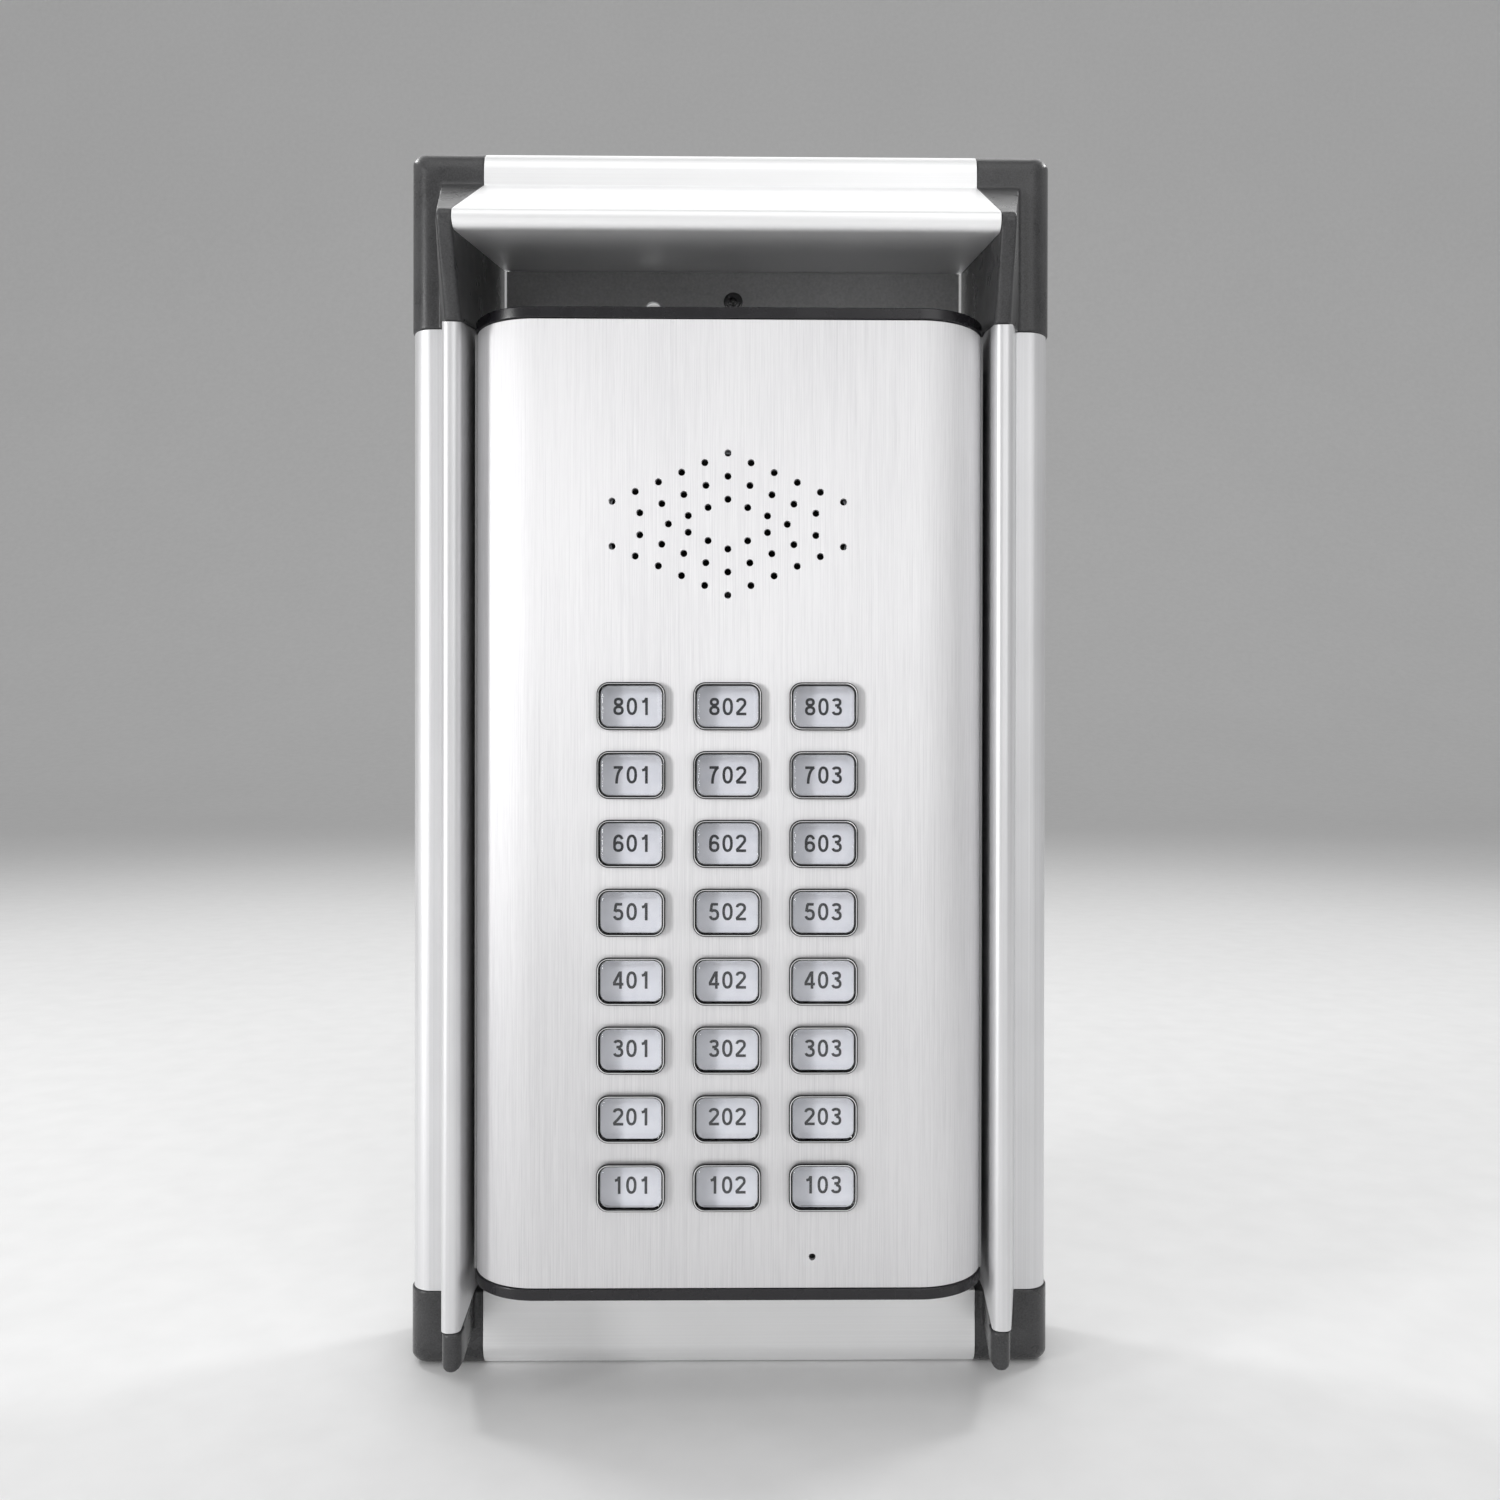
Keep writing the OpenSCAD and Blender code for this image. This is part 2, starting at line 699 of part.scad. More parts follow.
module station_faceplate() {
    hole_w = bezel_w - 2 * bezel_rim + 2 * skirt_wall + 2 * opening_gap;
    hole_h = bezel_h - 2 * bezel_rim + 2 * skirt_wall + 2 * opening_gap;
    color("gainsboro") difference() {
        along_z(face_bottom, face_top) face_section();
        along_y(face_front - CUT, face_back + CUT) {
            at_keys() round_rect(hole_w, hole_h, bezel_r - bezel_rim + skirt_wall + opening_gap);
            speaker_holes();
            translate([mic_x, mic_z]) circle(d = mic_hole_d, $fn = 24);
        }
    }
}

module end_cap_outline() {
    r = face_side_r + cap_proud;
    outer = arc(side_arc_x, side_arc_y, r, -90, -side_arc_end);
    half = station_w / 2;
    right = concat(outer, [[half, housing_front], [half, housing_back]]);
    polygon(concat(right, flipped(right)));
}

// An end cap lying on Z = 0, outer face up: the plate, its locating ridge and its screw holes
module end_cap() {
    difference() {
        union() {
            along_z(-cap_t, 0) end_cap_outline();
            box([-46, face_back + 0.2, -cap_t - 3], [46, face_back + 2.2, -cap_t + 0.1]);
        }
        for (x = [-1, 1]) translate([x * cap_screw_x, cap_screw_y, 0])
            countersunk_hole(corner_screw_d, cap_t + 4, cap_screw_head_d);
    }
}

module station_end_cap_top() {
    color([0.25, 0.25, 0.26]) translate([0, 0, station_top]) end_cap();
}

module station_end_cap_bottom() {
    color([0.25, 0.25, 0.26]) translate([0, 0, station_bottom]) mirror([0, 0, 1]) end_cap();
}

module end_cap_screws() {
    color("lightgray") for (x = [-1, 1]) {
        translate([x * cap_screw_x, cap_screw_y, station_top - 0.1])
            countersunk_screw(corner_screw_d, 12, cap_screw_head_d);
        translate([x * cap_screw_x, cap_screw_y, station_bottom + 0.1]) mirror([0, 0, 1])
            countersunk_screw(corner_screw_d, 12, cap_screw_head_d);
    }
}

module cap_boss(end_z, dir) {
    low = min(end_z, end_z - dir * cap_boss_l);
    for (x = [-1, 1]) {
        translate([x * cap_screw_x, cap_screw_y, low]) cylinder(d = cap_boss_d, h = cap_boss_l);
        translate([x * (cap_screw_x + station_w / 2) / 2, cap_screw_y, low + cap_boss_l / 2])
            cube([station_w / 2 - cap_screw_x, 2.4, cap_boss_l], center = true);
    }
}

module station_housing() {
    half = station_w / 2;
    inner = half - housing_wall;
    floor_y = housing_back - housing_wall;
    color([0.2, 0.2, 0.21]) difference() {
        union() {
            difference() {
                box([-half, housing_front, housing_bottom], [half, housing_back, housing_top]);
                box([-inner, housing_front - CUT, housing_bottom + housing_wall],
                    [inner, floor_y, housing_top - housing_wall]);
            }
            intersection() {
                box([-half, housing_front, housing_bottom], [half, housing_back, housing_top]);
                union() {
                    cap_boss(housing_top, 1);
                    cap_boss(housing_bottom, -1);
                }
            }
            for (x = [-1, 1], z = main_hole_z) translate([x * main_hole_x, floor_y + 0.1, z])
                rotate([90, 0, 0]) cylinder(d = pillar_d, h = floor_y + 0.1 - main_back);
        }
        for (x = [-1, 1]) {
            translate([x * cap_screw_x, cap_screw_y, housing_top - 12]) cylinder(d = pilot_d, h = 13);
            translate([x * cap_screw_x, cap_screw_y, housing_bottom - 1]) cylinder(d = pilot_d, h = 13);
        }
        for (x = [-1, 1], z = main_hole_z) translate([x * main_hole_x, floor_y - 0.5, z])
            rotate([90, 0, 0]) cylinder(d = pilot_d, h = 10);
        box([-slot_notch_x, housing_front - CUT, housing_bottom - CUT],
            [slot_notch_x, slot_rib_back + 0.3, housing_top + CUT]);
        translate([0, CUT + housing_back, 0]) rotate([90, 0, 0]) linear_extrude(housing_wall + 2 * CUT) {
            at_four(wall_hole_x / 2, wall_hole_z / 2) circle(d = wall_access_d);
            at_four(fixing[0], fixing[1]) circle(d = fixing_d + 0.4);
            translate([0, entry_z]) circle(d = entry_wall_d);
        }
    }
}

// Screws through the housing's floor into threads in the back plate
module station_fixing_screws() {
    floor_y = housing_back - housing_wall;
    color("lightgray") translate([0, floor_y, 0]) rotate([90, 0, 0])
        at_four(fixing[0], fixing[1]) pan_screw(fixing_d, 3.6, 7.4, 2.6);
}

// ---- Keys ----

module key_bezels() {
    inner_w = bezel_w - 2 * bezel_rim;
    inner_h = bezel_h - 2 * bezel_rim;
    inner_r = bezel_r - bezel_rim;
    color("lightsteelblue") difference() {
        union() {
            along_y(face_front - bezel_proud, face_front) at_keys() round_rect(bezel_w, bezel_h, bezel_r);
            along_y(face_front - 0.1, skirt_back) at_keys()
                round_rect(inner_w + 2 * skirt_wall, inner_h + 2 * skirt_wall, inner_r + skirt_wall);
        }
        along_y(face_front - bezel_proud - CUT, skirt_back + CUT) at_keys()
            round_rect(inner_w, inner_h, inner_r);
    }
}

// One key: its clear lens, the label card behind it, and the carrier with its stem
module key(col, row) {
    place = key_place(col, row);
    translate([place[0], 0, place[1]]) {
        color([0.85, 0.88, 0.9]) along_y(key_front, key_front + lens_t) round_rect(key_w, key_h, key_r);
        color("white") along_y(card_front, card_front + card_t)
            round_rect(key_w - 2 * card_margin, key_h - 2 * card_margin, key_r - card_margin);
        color("lightgray") union() {
            along_y(card_front + card_t + card_gap, key_flange_back) round_rect(key_w, key_h, key_r);
            along_y(key_flange_front, key_flange_back)
                round_rect(bezel_w - 0.6, bezel_h - 0.6, bezel_r - 0.3);
            translate([0, stem_end, 0]) rotate([90, 0, 0])
                cylinder(d = stem_d, h = stem_end - key_flange_back + 0.1);
        }
    }
}

// The guide that slides into the faceplate's front slots and steers the keys' stems
module key_guide() {
    color([0.3, 0.3, 0.32]) along_y(guide_front, guide_front + guide_t) difference() {
        translate([-board_x + 0.1, guide_bottom]) square([2 * board_x - 0.2, guide_top - guide_bottom]);
        at_keys() circle(d = stem_bore_d);
    }
}

module keypad_board() {
    color("darkgreen") along_y(board_front, board_back) difference() {
        translate([-board_x, board_bottom]) square([2 * board_x, guide_top - board_bottom]);
        for (x = [-1, 1]) translate([x * 44, board_bottom + 6]) circle(d = 3.2);
    }
}

module key_switches() {
    front = board_front - switch_h;
    color([0.15, 0.15, 0.15]) difference() {
        along_y(front, board_front) at_keys() square(switch_w, center = true);
        translate([0, front + switch_bore, 0]) rotate([90, 0, 0]) linear_extrude(switch_bore + CUT)
            at_keys() circle(d = stem_bore_d);
    }
}

// ---- Speaker ----

module oval(w, h) {
    square([w - h, h], center = true);
    for (x = [-1, 1]) translate([x * (w - h) / 2, 0]) circle(d = h);
}

module speaker_ring(front, back, inset, inner_inset) {
    translate([0, 0, speaker_z]) along_y(front, back) difference() {
        oval(speaker_w - 2 * inset, speaker_h - 2 * inset);
        oval(speaker_w - 2 * inner_inset, speaker_h - 2 * inner_inset);
    }
}

module speaker_gasket() {
    color([0.1, 0.1, 0.1]) speaker_ring(face_back, speaker_front, 0, speaker_rim);
}

module speaker_basket() {
    flange_back = speaker_front + speaker_flange_t;
    color("slategray") union() {
        speaker_ring(speaker_front, flange_back, 0, speaker_rim + 1);
        speaker_ring(flange_back - 0.1, basket_back, speaker_rim, speaker_rim + 1);
        translate([0, 0, speaker_z]) along_y(basket_back - 1, basket_back) difference() {
            oval(speaker_w - 2 * speaker_rim, speaker_h - 2 * speaker_rim);
            circle(d = magnet_d - 8);
        }
    }
}

// The oval cone, from its surround at the flange down to the voice coil
module speaker_cone() {
    front = speaker_front + 0.2;
    back = basket_back - 1.5;
    rim = 2 * (speaker_rim + 1.3);
    color([0.12, 0.12, 0.12]) translate([0, 0, speaker_z]) difference() {
        hull() {
            along_y(front, front + 0.8) oval(speaker_w - rim, speaker_h - rim, $fn = HULL_FN);
            along_y(back - 1, back) circle(d = 18, $fn = HULL_FN);
        }
        hull() {
            along_y(front - CUT, front) oval(speaker_w - rim - 3, speaker_h - rim - 3, $fn = HULL_FN);
            along_y(back - 2, back - 1) circle(d = 16, $fn = HULL_FN);
        }
    }
}

module speaker_magnet() {
    color([0.35, 0.35, 0.37]) translate([0, basket_back + magnet_t, speaker_z]) rotate([90, 0, 0]) union() {
        cylinder(d = magnet_d, h = magnet_t);
        translate([0, 0, magnet_t - 0.1]) cylinder(d = magnet_d - 8.4, h = 1);
    }
}

// The plate that slides into the front slots and clamps the speaker's flange
module speaker_mount() {
    flange_back = speaker_front + speaker_flange_t;
    color([0.3, 0.3, 0.32]) union() {
        speaker_ring(flange_back, guide_front + 0.1, 0.5, speaker_rim - 0.4);
        along_y(guide_front, guide_front + guide_t) difference() {
            translate([-board_x + 0.1, mount_bottom]) square([2 * board_x - 0.2, mount_top - mount_bottom]);
            translate([0, speaker_z]) oval(speaker_w - 2 * speaker_rim + 0.8, speaker_h - 2 * speaker_rim + 0.8);
        }
    }
}

// ---- Microphone ----

module microphone() {
    color("silver") translate([mic_x, mic_front + mic_l, mic_z]) rotate([90, 0, 0]) cylinder(d = mic_d, h = mic_l);
}

module microphone_boot() {
    color([0.1, 0.1, 0.1]) translate([mic_x, 0, mic_z]) difference() {
        along_y(face_back, board_front) circle(d = boot_d);
        along_y(mic_front, board_front + CUT) circle(d = mic_d);
        along_y(face_back - CUT, mic_front + CUT) circle(d = 4);
    }
}

// ---- Main board ----

module main_board() {
    color("darkgreen") along_y(main_front, main_back) difference() {
        translate([-main_w / 2, main_bottom]) square([main_w, main_top - main_bottom]);
        for (x = [-1, 1], z = main_hole_z) translate([x * main_hole_x, z]) circle(d = 3.2);
    }
}

module main_board_screws() {
    color("lightgray") for (x = [-1, 1], z = main_hole_z)
        translate([x * main_hole_x, main_front, z]) rotate([90, 0, 0])
            pan_screw(board_screw_d, 7, pan_head_d, pan_head_t);
}

module amplifier_chip() {
    color([0.1, 0.1, 0.1]) box([-34, main_front - 3.4, -24], [-14, main_front, -16]);
}

module capacitors() {
    color([0.15, 0.15, 0.3]) for (x = [8, 22, 36])
        translate([x, main_front, -20]) rotate([90, 0, 0]) cylinder(d = 10, h = 13);
}

// A row of screw clamps for the cable's wires
module terminal_block() {
    count = 6;
    pitch = 7;
    color("seagreen") difference() {
        box([-count * pitch / 2, main_front - 12, 16], [count * pitch / 2, main_front, 28]);
        for (i = [0:count - 1]) translate([(i + 0.5 - count / 2) * pitch, main_front - 6, 0]) {
            translate([0, 0, 20]) cylinder(d = 3.6, h = 10);
            translate([0, 0, 22]) rotate([90, 0, 0]) cylinder(d = 3.4, h = 8);
        }
    }
}

module ribbon_headers() {
    color([0.1, 0.1, 0.1]) {
        box([-header_w / 2, board_back, ribbon_z - header_h / 2],
            [header_w / 2, board_back + header_t, ribbon_z + header_h / 2]);
        box([-header_w / 2, main_front - header_t, ribbon_z - header_h / 2],
            [header_w / 2, main_front, ribbon_z + header_h / 2]);
    }
}

// The flat cable between the two boards, held in both headers, with one slack bend
module ribbon_cable() {
    front = board_back + header_t;
    back = main_front - header_t;
    sag = 16;
    color("lightgray") along_x(-ribbon_w / 2, ribbon_w / 2) polygon([
        [front, ribbon_z + ribbon_t / 2], [front + 4, ribbon_z + ribbon_t / 2],
        [front + 4, ribbon_z - sag + ribbon_t], [back - 4, ribbon_z - sag + ribbon_t],
        [back - 4, ribbon_z + ribbon_t / 2], [back, ribbon_z + ribbon_t / 2],
        [back, ribbon_z - ribbon_t / 2], [back - 4 + ribbon_t, ribbon_z - ribbon_t / 2],
        [back - 4 + ribbon_t, ribbon_z - sag], [front + 4 - ribbon_t, ribbon_z - sag],
        [front + 4 - ribbon_t, ribbon_z - ribbon_t / 2], [front, ribbon_z - ribbon_t / 2]]);
}

// The rubber ring that the cable passes through, in the housing's floor
module cable_grommet() {
    floor_y = housing_back - housing_wall;
    color([0.1, 0.1, 0.1]) translate([0, 0, entry_z]) difference() {
        union() {
            along_y(floor_y - 2, floor_y) circle(d = grommet_flange_d);
            along_y(floor_y - 0.1, housing_back + 0.1) circle(d = entry_wall_d - 0.2);
            along_y(housing_back, housing_back + 2) circle(d = grommet_flange_d);
        }
        along_y(floor_y - 3, housing_back + 3) circle(d = cable_d);
    }
}

// ---- Assembly ----

hood_top_rail();
hood_bottom_rail();
hood_side_rail_left();
hood_side_rail_right();
hood_corner_top_left();
hood_corner_top_right();
hood_corner_bottom_left();
hood_corner_bottom_right();
hood_back_plate();
hood_corner_screws();
hood_rivets();
station_faceplate();
station_end_cap_top();
station_end_cap_bottom();
station_housing();
end_cap_screws();
station_fixing_screws();
key_bezels();
key_guide();
keypad_board();
key_switches();
speaker_gasket();
speaker_basket();
speaker_cone();
speaker_magnet();
speaker_mount();
microphone();
microphone_boot();
main_board();
main_board_screws();
amplifier_chip();
capacitors();
terminal_block();
ribbon_cable();
ribbon_headers();
cable_grommet();
key(1, 1);  // key_101
key(2, 1);  // key_102
key(3, 1);  // key_103
key(1, 2);  // key_201
key(2, 2);  // key_202
key(3, 2);  // key_203
key(1, 3);  // key_301
key(2, 3);  // key_302
key(3, 3);  // key_303
key(1, 4);  // key_401
key(2, 4);  // key_402
key(3, 4);  // key_403
key(1, 5);  // key_501
key(2, 5);  // key_502
key(3, 5);  // key_503
key(1, 6);  // key_601
key(2, 6);  // key_602
key(3, 6);  // key_603
key(1, 7);  // key_701
key(2, 7);  // key_702
key(3, 7);  // key_703
key(1, 8);  // key_801
key(2, 8);  // key_802
key(3, 8);  // key_803
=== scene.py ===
"""Looks of a door intercom panel: a brushed call station with 24 keys in an aluminium rain hood."""

import json
import math

import bmesh
import bpy
from mathutils import Matrix, Quaternion, Vector
from mathutils.geometry import delaunay_2d_cdt


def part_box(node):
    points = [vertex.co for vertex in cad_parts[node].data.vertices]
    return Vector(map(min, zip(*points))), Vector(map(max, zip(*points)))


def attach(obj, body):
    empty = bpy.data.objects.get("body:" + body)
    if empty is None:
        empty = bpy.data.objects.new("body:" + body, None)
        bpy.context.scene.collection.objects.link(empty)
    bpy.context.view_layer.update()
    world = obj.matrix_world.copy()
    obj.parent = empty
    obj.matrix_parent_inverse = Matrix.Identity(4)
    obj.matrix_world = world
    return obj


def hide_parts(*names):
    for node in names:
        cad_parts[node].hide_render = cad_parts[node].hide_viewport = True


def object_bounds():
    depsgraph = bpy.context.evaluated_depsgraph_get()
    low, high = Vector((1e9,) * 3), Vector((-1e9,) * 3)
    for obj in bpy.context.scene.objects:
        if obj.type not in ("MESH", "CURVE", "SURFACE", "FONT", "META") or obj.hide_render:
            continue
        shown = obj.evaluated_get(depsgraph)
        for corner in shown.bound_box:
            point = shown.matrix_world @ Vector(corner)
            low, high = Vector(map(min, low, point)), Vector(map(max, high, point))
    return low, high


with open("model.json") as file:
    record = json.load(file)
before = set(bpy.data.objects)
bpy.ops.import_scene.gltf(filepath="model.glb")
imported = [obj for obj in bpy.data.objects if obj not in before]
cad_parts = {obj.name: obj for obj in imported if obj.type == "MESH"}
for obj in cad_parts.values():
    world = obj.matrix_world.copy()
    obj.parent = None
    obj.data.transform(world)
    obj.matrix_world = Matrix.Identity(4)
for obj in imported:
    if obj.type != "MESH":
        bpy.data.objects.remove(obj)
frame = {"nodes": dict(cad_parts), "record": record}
NODES = frame["nodes"]
CAD_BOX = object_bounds()
MM = 0.001
SCENE = bpy.context.scene


def low(node):
    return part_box(node)[0]


def high(node):
    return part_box(node)[1]


# ---- Sizes, in metres ----

CORNER_X = CAD_BOX[1].x
TOP_Z = CAD_BOX[1].z
RAIL_X = high("hood_side_rail_right").x
FOOT_X = low("hood_side_rail_right").x
FIN_Y = low("hood_side_rail_right").y
SIDE_TOP = high("hood_side_rail_right").z
SIDE_BOTTOM = low("hood_side_rail_right").z
CROSS_X = high("hood_top_rail").x
RAIL_Y = low("hood_bottom_rail").y
LIP_Y = low("hood_top_rail").y
SPIGOT_IN = 6 * MM
CORNER_SCREW_R = 2.9 * MM
FLANGE_X = 75.6 * MM
FLANGE_T = 1.2 * MM
FLANGE_H = 19 * MM

RAIL_EDGE_R = 7 * MM
RAIL_WALL = 1.5 * MM
RAIL_SOFT_R = 0.4 * MM
CORNER_R = 4.4 * MM
CORNER_WALL = 1.2 * MM
NOSE_R = 2.6 * MM
NOSE_X = 80.25 * MM
FIN_ROOT_OUT = 89.6 * MM
RAIL_IN = 80 * MM
FOOT_T = 4 * MM
SIDE_TOP_DROP = 7.6 * MM
LIP_R = 3 * MM
LIP_Z = 152.9 * MM
VISOR_TOP_SLOPE = math.radians(31)
VISOR_UNDER_SLOPE = math.radians(12)
END_SOFT_R = 0.12 * MM

TOP_SCREW_DROP = 16.5 * MM
BOTTOM_SCREW_DROP = 9 * MM
SIDE_SCREW_IN = 5.5 * MM
CROSS_SCREWS = [(CROSS_X - SPIGOT_IN, TOP_Z - TOP_SCREW_DROP),
                (CROSS_X - SPIGOT_IN, SIDE_BOTTOM - BOTTOM_SCREW_DROP)]
SIDE_SCREWS = [(RAIL_IN + RAIL_WALL + SIDE_SCREW_IN, SIDE_TOP - SPIGOT_IN),
               (RAIL_IN + RAIL_WALL + SIDE_SCREW_IN, SIDE_BOTTOM + SPIGOT_IN)]

PLATE_FRONT = low("hood_back_plate").y
PLATE_BACK = high("hood_back_plate").y
RIVET_Z = (154.4 * MM, -162.4 * MM)
SPARE_HOLE = (-27 * MM, 151.6 * MM)
SPARE_HOLE_R = 2.75 * MM
RIVET_HOLE_R = 1.65 * MM

FACE_FRONT = low("station_faceplate").y
FACE_X = high("station_faceplate").x
FACE_BOTTOM = low("station_faceplate").z
FACE_TOP = high("station_faceplate").z
FACE_FLAT_X = 56 * MM
FACE_SIDE_R = 21 * MM
FACE_T = 2 * MM
RIB_IN = 49.5 * MM
RIB_OUT = 52 * MM
RIB_DEEP = 18 * MM
CAP_PROUD = 0.4 * MM
CAP_T = 3.3 * MM
CAP_RIDGE_X = 46 * MM
CAP_RIDGE_FRONT = 2.2 * MM
CAP_RIDGE_BACK = 4.2 * MM
STATION_X = high("station_housing").x
HOUSING_BACK = high("station_housing").y
CAP_SCREW = (60 * MM, -25 * MM)
CAP_SCREW_R = 3 * MM

BEZEL_W = 20 * MM
BEZEL_H = 14 * MM
BEZEL_R = 3.6 * MM
BEZEL_RIM = 0.9 * MM
BEZEL_FRONT = low("key_bezels").y
BEZEL_BACK = high("key_bezels").y
SKIRT_WALL = 0.5 * MM
KEY_GAP = 0.2 * MM
KEY_W = BEZEL_W - 2 * (BEZEL_RIM + KEY_GAP)
KEY_H = BEZEL_H - 2 * (BEZEL_RIM + KEY_GAP)
KEY_R = BEZEL_R - BEZEL_RIM - KEY_GAP
LENS_T = 4 * MM
CARD_T = 0.3 * MM
CARD_GAP = 0.05 * MM
CARD_MARGIN = 0.4 * MM
STEM_R = 1.6 * MM
KEY_FLANGE_FRONT = -59.35 * MM
KEY_FLANGE_BACK = -58.15 * MM
DIGIT_H = 5.1 * MM
DIGIT_STEP = 3.9 * MM
DIGIT_W = 0.6
DIGIT_STROKE = 0.155
INK_T = 0.02 * MM

SPEAKER_Z = 68.6 * MM
SPEAKER_HOLE_R = 1 * MM
HOLE_RINGS = ((6.74, 20.7, 2.83, 5), (6.41, 13.94, 2.68, 4), (5.77, 7.24, 2.41, 3))
MIC_HOLE = (24.9 * MM, -145.2 * MM)

CAMERA_AT = Vector((10.5, -435, 1.2)) * MM
CAMERA_YAW = math.radians(0.634)
CAMERA_PITCH = math.radians(-0.168)
CAMERA_ROLL = math.radians(0.086)
CAMERA_LENS = 30.67
CAMERA_SHIFT = (-0.0185, 0.0062)


# ---- Outlines ----

def arc(cx, cy, r, start, end, steps=12):
    """Points along an arc, its angles in degrees."""
    turn = [math.radians(start + (end - start) * i / steps) for i in range(steps + 1)]
    return [(cx + r * math.cos(a), cy + r * math.sin(a)) for a in turn]


def circle(cx, cy, r, steps=40):
    return arc(cx, cy, r, 0, 360 - 360 / steps, steps - 1)


def rounded(corners, steps=10):
    """A closed outline through corners (a, b, r), each rounded to its own radius r."""
    points = []
    for i, (a, b, r) in enumerate(corners):
        at = Vector((a, b))
        back = Vector(corners[i - 1][:2]) - at
        on = Vector(corners[(i + 1) % len(corners)][:2]) - at
        half = back.angle(on) / 2
        if r <= 0 or half > math.radians(89.5):
            points.append((a, b))
            continue
        reach = r / math.tan(half)
        centre = at + (back.normalized() + on.normalized()).normalized() * (r / math.sin(half))
        first = at + back.normalized() * reach - centre
        turn = first.angle_signed(at + on.normalized() * reach - centre)
        for k in range(steps + 1):
            p = first.copy()
            p.rotate(Matrix.Rotation(-turn * k / steps, 2))
            points.append(tuple(centre + p))
    return points


def round_rect(w, h, r, steps=10):
    """A rounded rectangle round the origin."""
    x, y = w / 2 - r, h / 2 - r
    return (arc(x, y, r, 0, 90, steps) + arc(-x, y, r, 90, 180, steps)
            + arc(-x, -y, r, 180, 270, steps) + arc(x, -y, r, 270, 360, steps))


def moved(points, dx, dy):
    return [(x + dx, y + dy) for x, y in points]


# ---- Mesh making ----

ALONG_X = Matrix(((0, 0, 1, 0), (1, 0, 0, 0), (0, 1, 0, 0), (0, 0, 0, 1)))
ALONG_Y = Matrix(((1, 0, 0, 0), (0, 0, 1, 0), (0, 1, 0, 0), (0, 0, 0, 1)))
ALONG_Z = Matrix.Identity(4)


def piece(name, mesh, material, body="base", replaces=()):
    """Links a mesh as a finished piece: its material, its body, and the CAD nodes it stands for."""
    obj = bpy.data.objects.new(name, mesh)
    SCENE.collection.objects.link(obj)
    mesh.materials.clear()
    mesh.materials.append(material)
    even = obj.modifiers.new("even_normals", "WEIGHTED_NORMAL")
    even.keep_sharp = True
    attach(obj, body)
    if replaces:
        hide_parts(*replaces)
    return obj


def finish_mesh(bm, name, sharp=35):
    """Closes a bmesh into a mesh with clean normals and smooth shading up to the given angle."""
    bmesh.ops.remove_doubles(bm, verts=bm.verts, dist=0.002 * MM)
    bmesh.ops.dissolve_degenerate(bm, edges=bm.edges, dist=0.001 * MM)
    bmesh.ops.recalc_face_normals(bm, faces=bm.faces)
    mesh = bpy.data.meshes.new(name)
    bm.to_mesh(mesh)
    bm.free()
    mesh.shade_smooth()
    mesh.set_sharp_from_angle(angle=math.radians(sharp))
    return mesh


def inset(points, distance):
    """A closed outline moved to its left by distance."""
    made = []
    for i, p in enumerate(points):
        a = (Vector(p) - Vector(points[i - 1])).normalized()
        b = (Vector(points[(i + 1) % len(points)]) - Vector(p)).normalized()
        normal = Vector((-(a + b).y, (a + b).x)).normalized()
        made.append(Vector(p) + normal * distance / max(normal.dot(Vector((-a.y, a.x))), 0.4))
    return made


def turned(points, solid):
    """The outline with its solid side on the left: a solid runs anticlockwise and a hole clockwise."""
    area = sum(points[i - 1][0] * p[1] - p[0] * points[i - 1][1] for i, p in enumerate(points))
    return list(points) if (area > 0) == solid else list(reversed(points))


def fill(bm, rings):
    """Fills the first ring of vertices, less the other rings, with well shaped triangles."""
    verts = [v for ring in rings for v, _ in ring]
    flat = [p / MM for ring in rings for _, p in ring]
    starts = [sum(len(r) for r in rings[:i]) for i in range(len(rings))]
    faces = [list(range(start, start + len(ring))) for start, ring in zip(starts, rings)]
    for hole in faces[1:]:
        hole.reverse()
    made = delaunay_2d_cdt(flat, [], faces, 1, 1e-5)
    for triangle, inside in zip(made[2], made[5]):
        if inside == [0]:
            bm.faces.new([verts[made[3][i][0]] for i in triangle])


def prism(bm, outlines, place, start, end, soft=END_SOFT_R):
    """Adds an extruded solid: the first outline, less the others, from start to end, with soft rims."""
    turn = (0, math.pi / 6, math.pi / 3, math.pi / 2)
    rim = [(soft * (1 - math.sin(a)), soft * (1 - math.cos(a))) for a in turn]
    layers = [(d, start + h) for d, h in rim] + [(d, end - h) for d, h in reversed(rim)]
    ends = ([], [])
    for k, points in enumerate(outlines):
        points = turned(points, k == 0)
        rings = []
        for d, h in layers:
            ring = inset(points, d)
            rings.append([(bm.verts.new(place @ Vector((p.x, p.y, h))), p) for p in ring])
        for low_ring, high_ring in zip(rings, rings[1:]):
            for i in range(len(points)):
                bm.faces.new((low_ring[i - 1][0], low_ring[i][0], high_ring[i][0], high_ring[i - 1][0]))
        ends[0].append(rings[0])
        ends[1].append(rings[-1])
    fill(bm, ends[0])
    fill(bm, ends[1])


def loft(bm, rings):
    """Joins closed rings of points, the first and the last filled in."""
    made = [[bm.verts.new(p) for p in ring] for ring in rings]
    for a, b in zip(made, made[1:]):
        for i in range(len(a)):
            j = (i + 1) % len(a)
            bm.faces.new((a[i], a[j], b[j], b[i]))
    bm.faces.new(made[0])
    bm.faces.new(reversed(made[-1]))


def loft_ring(bm, rings):
    """Joins closed rings of points into a closed band."""
    made = [[bm.verts.new(p) for p in ring] for ring in rings]
    for a, b in zip(made, made[1:] + made[:1]):
        for i in range(len(a)):
            j = (i + 1) % len(a)
            bm.faces.new((a[i], a[j], b[j], b[i]))


